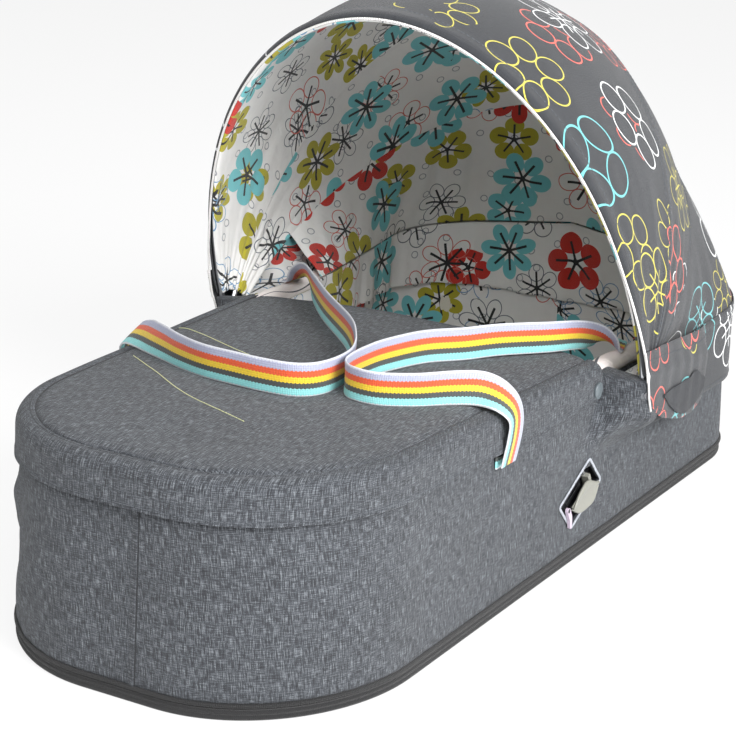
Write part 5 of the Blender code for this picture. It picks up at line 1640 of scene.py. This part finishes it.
LEFT_ROUTE = (
    (-0.953, -0.365, -1.62, 0, 1, 0), (-0.972, -0.36, -0.7, 0, 1, 0.05),
    (-0.966, -0.365, -0.05, 0.05, 0.97, 0.2), (-0.91, -0.382, 0.28, -0.1, 0.9, 0.35),
    (-0.808, -0.413, 0.42, -0.1, 0.75, 0.6), (-0.697, -0.45, 0.5, -0.05, 0.5, 0.85),
    (-0.582, -0.482, 0.53, 0, 0.25, 0.97), (-0.458, -0.513, 0.53, 0, 0.1, 1),
    (-0.29, -0.542, 0.53, 0, 0, 1), (-0.111, -0.552, 0.53, 0, 0, 1),
    (0.03, -0.555, 0.53, 0, 0, 1), (0.15, -0.548, 0.53, 0, 0, 1),
    (0.224, -0.525, 0.53, 0, 0, 1), (0.259, -0.485, 0.53, 0, 0, 1),
    (0.261, -0.43, 0.53, 0.05, 0, 1), (0.234, -0.37, 0.53, 0.05, 0, 1),
    (0.14, -0.29, 0.53, 0.1, 0.05, 1), (-0.012, -0.195, 0.54, 0.1, 0.1, 1),
    (-0.329, -0.045, 0.55, 0.1, 0, 1), (-0.572, 0.09, 0.53, 0.05, -0.1, 1),
    (-0.758, 0.2, 0.48, 0, -0.45, 0.85), (-0.864, 0.255, 0.25, -0.05, -0.85, 0.45),
    (-0.926, 0.274, 0.01, -0.05, -1, 0.05), (-0.973, 0.278, -0.04, 0, -1, 0),
)
STRIPES = ((1.6, linear(140, 212, 212)), (6.8, linear(70, 74, 72)), (11.0, linear(232, 198, 50)),
           (15.6, linear(222, 88, 46)), (20.4, linear(172, 176, 200)),
           (25.4, linear(206, 208, 216)))
STRAP_HELD = 0.03
STRAP_EASE = 0.17
TAB_HEIGHT = 10.4 * MM
TAB_GAP = 1.9 * MM
STRAP_STEPS = 9
STRAP_ROWS = 9


def striped_webbing(name):
    """Webbing woven in six lengthwise stripes between pale edges, with a fine cross rib."""
    finish, t, u, v = new_cloth(name)
    teeth = ribbed(u, 0.0030) * 0.00035
    place = v + teeth
    colour = linear(206, 210, 214)
    for start, tint in STRIPES:
        colour = (place > start * MM).tint(colour, tint)
    fuzz = yarn(u, v, 900, 260, 2.0)
    rib = abs(ribbed(u, 0.0026))
    ridge = abs(ribbed(v, 0.0034))
    shade = (rib * 0.22 + fuzz * 0.5 + 0.42).clamped()
    dark = t.make("Mix", {"data_type": "RGBA", "blend_type": "MULTIPLY"},
                  {0: 1.0, 6: colour, 7: linear(150, 150, 152)}, 2)
    tone = shade.tint(dark, colour)
    return settle_finish(finish, t, tone, 0.62 + (fuzz - 0.5) * 0.2,
                         rib * 0.5 + ridge * 0.3 + fuzz * 0.4, 0.0004, sheen=0.15)


webbing = striped_webbing("striped_webbing")
for word, route, side in (("right", RIGHT_ROUTE, 1), ("left", LEFT_ROUTE, -1)):
    centres = []
    edges = []
    for x, y, lift, across, along, up in route:
        place = Vector((x * HALF_WIDTH, y * HALF_LENGTH, 0))
        place.z = apron_surface(place.x, place.y) + lift * WEBBING_WIDTH
        centres.append(place)
        edges.append(Vector((across, along, up)))
    centres = smooth_line(centres, STRAP_STEPS)
    edges = smooth_line(edges, STRAP_STEPS)
    line = np.array([p[:] for p in centres])
    runs = np.gradient(line, axis=0)
    runs /= np.linalg.norm(runs, axis=1, keepdims=True)
    edges = np.array([e[:] for e in edges])
    edges -= runs * (edges * runs).sum(axis=1, keepdims=True)
    edges /= np.linalg.norm(edges, axis=1, keepdims=True)
    cup = np.cross(runs, edges)
    grid = []
    for row in range(STRAP_ROWS):
        share = 2 * row / (STRAP_ROWS - 1) - 1
        bow_out = (1 - share ** 2) * 0.5 * MM
        grid.append(line + edges * share * WEBBING_WIDTH / 2 + cup * bow_out)
    strap = baked(cut_cloth("carry_strap_webbing_" + word, grid, webbing, WEBBING, 0))
    reach = length_shares(line) * np.linalg.norm(np.diff(line, axis=0), axis=1).sum()
    total = reach[-1]
    free = np.clip(np.minimum(reach - STRAP_HELD, total - STRAP_HELD - reach) / STRAP_EASE, 0, 1)
    free = free * free * (3 - 2 * free)
    points = np.array([v.co[:] for v in strap.data.vertices])
    nearest = [int(np.argmin(((line - point) ** 2).sum(axis=1))) for point in points]
    weigh(strap, "tub", "strap_" + word, Vector(line[0]), Vector(line[len(line) // 2]),
          free[nearest])
    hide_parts("carry_strap_" + word)
    end = line[0]
    low = end[2] - WEBBING_WIDTH * 0.05
    tab = [[(half_width_at(y, lean(z, y) + TAB_GAP) * side, y, z)
            for y in np.linspace(end[1] - WEBBING_WIDTH / 2, end[1] + WEBBING_WIDTH / 2, 9)]
           for z in np.linspace(low, low + TAB_HEIGHT, 5)]
    anchor = cut_cloth("strap_anchor_webbing_" + word, tab, webbing, 1.5 * MM, -side)
    belongs(anchor, "tub", "webbing", "strap_anchor_" + word)

# The side clips: a black housing behind a taped slit, with a grey lever, a mauve hook and a
# leaf spring.


def moulded(name, shade, gloss):
    """Moulded plastic with a fine spark texture and faint rubbing."""
    return grained(name, shade, 900.0, 3.0, (0.85, 1.15), (gloss - 0.175, 0.15, 0.2), 0.00008, 40.0)


black_plastic = moulded("black_plastic", linear(34, 35, 38), 0.45)
grey_plastic = moulded("grey_plastic", linear(128, 128, 120), 0.40)
mauve_plastic = moulded("mauve_plastic", linear(186, 172, 188), 0.38)
stud_plastic = moulded("stud_grey", linear(92, 100, 104), 0.35)
for side, word in SIDES:
    paint_node("clip_housing_" + word, black_plastic)
    paint_node("clip_hook_" + word, mauve_plastic)
    paint_node("hinge_bracket_" + word, black_plastic)
tape_cloth = mottled_cloth("slit_tape", linear(120, 124, 132), linear(160, 164, 172),
                           linear(200, 204, 210))
SNAP_FACE_X = 0.1748
DOME_SIDES = 40
SNAP_RINGS = ((0.3, 1.55), (2.0, 1.5), (3.8, 1.3), (5.2, 0.9), (5.7, 0.55), (6.1, 0.6),
              (6.5, 0.85), (6.9, 0.7), (7.1, 0.1), (7.1, -1.6))
LEVER_LEVEL = -5.0 * MM
LEVER_PIVOT = 19.8 * MM
LEVER_TOP = ((-17.5, -1.5), (-8, 2.6), (2, 4.8), (11.5, 4.6), (19.5, -2.5), (26.3, -10.5))
LEVER_LOW = ((-16.5, -3.5), (-12.5, -10.5), (-7.5, -15.6), (3, -19.6), (14, -21.0), (25.0, -13.0))


def rounded_loop(corners, radius, steps=5):
    loop = []
    for index, corner in enumerate(corners):
        here = Vector(corner)
        start = here + (Vector(corners[index - 1]) - here).normalized() * radius
        end = here + (Vector(corners[(index + 1) % len(corners)]) - here).normalized() * radius
        for step in range(steps + 1):
            share = step / steps
            loop.append(start * (1 - share) ** 2 + here * 2 * share * (1 - share)
                        + end * share ** 2)
    return loop


def domed(name, rings, place, side, finish):
    """A round cap of rings (radius, height in mm) on an upright face that looks sideways."""
    bm = bmesh.new()
    turns = [TAU * step / DOME_SIDES for step in range(DOME_SIDES)]
    loops = []
    for radius, height in scaled(rings):
        loops.append([bm.verts.new(((place[0] + height) * side, place[1] + radius * math.cos(a),
                                    place[2] + radius * math.sin(a))) for a in turns])
    for inner, outer in zip(loops, loops[1:]):
        for i in range(DOME_SIDES):
            bm.faces.new((inner[i - 1], inner[i], outer[i], outer[i - 1]))
    bm.faces.new(loops[0])
    bm.faces.new(loops[-1])
    piece = shell_of(name, bm)
    for face in piece.data.polygons:
        face.use_smooth = len(face.vertices) == 4
    piece.data.materials.append(finish)
    return piece


for side, word in SIDES:
    cap = domed("snap_dome_" + word, SNAP_RINGS, (SNAP_FACE_X, SNAP_Y, SNAP_Z), side, stud_plastic)
    belongs(cap, "apron", "stud_grey", "snap_cap_" + word)
    matrix = clip_frame(side)
    loop = rounded_loop(slit_points(1.3 * MM), 3.5 * MM)
    path = [matrix @ Vector((p.x * side, p.y, 0.9 * MM)) for p in loop]
    tape = swept("slit_tape_" + word, path, round_outline(1.3 * MM, 0.6 * MM, 12), tape_cloth,
                 matrix.col[2][:3], closed=True)
    belongs(tape, "tub", "binding", "slit_binding_" + word)

    top = smooth_line([Vector((*q, 0)) * MM for q in LEVER_TOP], 7)
    low = smooth_line([Vector((*q, 0)) * MM for q in LEVER_LOW], 7)
    rows = []
    for r in range(15):
        share = r / 14
        ridge = math.exp(-((share - 0.16) / 0.09) ** 2) * 1.3 * MM
        dish = -0.7 * MM * math.sin(math.pi * max(0.0, share - 0.25) / 0.75)
        row = []
        for index, (high, deep) in enumerate(zip(top, low)):
            q = high.lerp(deep, share)
            along = index / (len(top) - 1)
            rise = 2.4 * MM + 2.2 * MM * along - 1.6 * MM * share * (1 - along)
            row.append(matrix @ Vector((q.x * side, q.y, rise + ridge + dish)))
        rows.append(row)
    plate = cut_cloth("clip_lever_plate_" + word, rows, grey_plastic, 2.4 * MM, side)
    baked(plate)
    ends = [matrix @ Vector((LEVER_PIVOT * side, step * MM, LEVER_LEVEL))
            for step in (-12.0, -8.5, -5.0, -1.5, 2.0)]
    turns = np.linspace(math.pi * 0.85, math.pi * 2.15, 14)
    neck = scaled([(-2.2, 5.2)] + [(2.6 * math.cos(a), 2.6 * math.sin(a)) for a in turns]
                  + [(2.2, 5.2)])
    barrel = swept("clip_lever_barrel_" + word, ends, neck, grey_plastic, matrix.col[2][:3])
    for piece in (plate, barrel):
        belongs(piece, "lever_" + word, "grey_plastic")
    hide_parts("clip_lever_" + word)
    for lift, offset in ((7.0, 0.0), (10.2, 0.8)):
        path = [matrix @ Vector((x * MM * side, lift * MM + 0.4 * MM * math.sin(x),
                                 -4.4 * MM + offset * MM))
                for x in np.linspace(-25, 17, 30)]
        rod = swept("clip_rod_%s_%d" % (word, lift), path, round_outline(1.4 * MM, 1.4 * MM),
                    black_plastic, matrix.col[2][:3])
        belongs(rod, "tub", "black_plastic")

# The photograph's viewpoint, soft daylight from the upper left and a white ground.
CAMERA_PLACE = (0.747, -1.458, 0.671)
CAMERA_LENS = 99.98
CAMERA_TURNS_DEG = (27.86, -18.134, 2.412)
PICTURE = 736
LIGHTS = (("key", (2.7, -1.0, 1.7), (0, 0, 0.15), 1.6, 165),
          ("front", (0.55, -1.5, 1.6), (-0.1, 0.3, 0.28), 1.2, 28),
          ("top", (-0.3, 0.2, 3.0), (0, 0, 0), 3.0, 18))
camera_data = bpy.data.cameras.new("camera")
camera_data.sensor_width = 36
camera_data.lens = CAMERA_LENS
camera = linked("camera", camera_data)
yaw, pitch, roll_turn = (math.radians(turn) for turn in CAMERA_TURNS_DEG)
forward = Vector((-math.sin(yaw) * math.cos(pitch), math.cos(yaw) * math.cos(pitch),
                  math.sin(pitch)))
level_right = Vector((math.cos(yaw), math.sin(yaw), 0))
level_up = level_right.cross(forward)
right = level_right * math.cos(roll_turn) + level_up * math.sin(roll_turn)
up = level_up * math.cos(roll_turn) - level_right * math.sin(roll_turn)
matrix = Matrix.Identity(4)
for column, axis in enumerate((right, up, -forward)):
    matrix.col[column][:3] = axis
matrix.col[3][:3] = CAMERA_PLACE
camera.matrix_world = matrix
bpy.context.scene.camera = camera
bpy.context.scene.render.resolution_x = PICTURE
bpy.context.scene.render.resolution_y = PICTURE

bpy.ops.mesh.primitive_plane_add(size=12, location=(0, 0, -0.3 * MM))
floor = bpy.context.object
floor.name = "floor"
paper, t = new_finish("white_ground")
shader = paper.node_tree.nodes["Principled BSDF"]
shader.inputs["Base Color"].default_value = (0.90, 0.90, 0.90, 1)
shader.inputs["Roughness"].default_value = 0.9
glow = t.make("Emission", {}, {"Color": (1, 1, 1, 1), "Strength": 1.0})
seen = t.make("LightPath", {}, {}, "Is Camera Ray")
ground = t.make("MixShader", {}, {0: seen * 0.8, 1: Thread(paper.node_tree, shader), 2: glow})
paper.node_tree.links.new(ground.node.outputs[0],
                          paper.node_tree.nodes["Material Output"].inputs["Surface"])
floor.data.materials.append(paper)
for name, place, aim, size, power in LIGHTS:
    light_data = bpy.data.lights.new(name, "AREA")
    light_data.size = size
    light_data.energy = power
    light = linked(name, light_data)
    light.location = place
    light.rotation_euler = (Vector(aim) - Vector(place)).to_track_quat("-Z", "Y").to_euler()
world = bpy.data.worlds.new("white_room")
bpy.context.scene.world = world
world.use_nodes = True
room = Thread(world.node_tree)
back = world.node_tree.nodes["Background"]
back.inputs["Color"].default_value = (1, 1, 1, 1)
seen = room.make("LightPath", {}, {}, "Is Camera Ray")
strength = seen * 0.58 + 0.42
world.node_tree.links.new(strength.node.outputs[0], back.inputs["Strength"])
bpy.context.scene.view_settings.view_transform = "Standard"
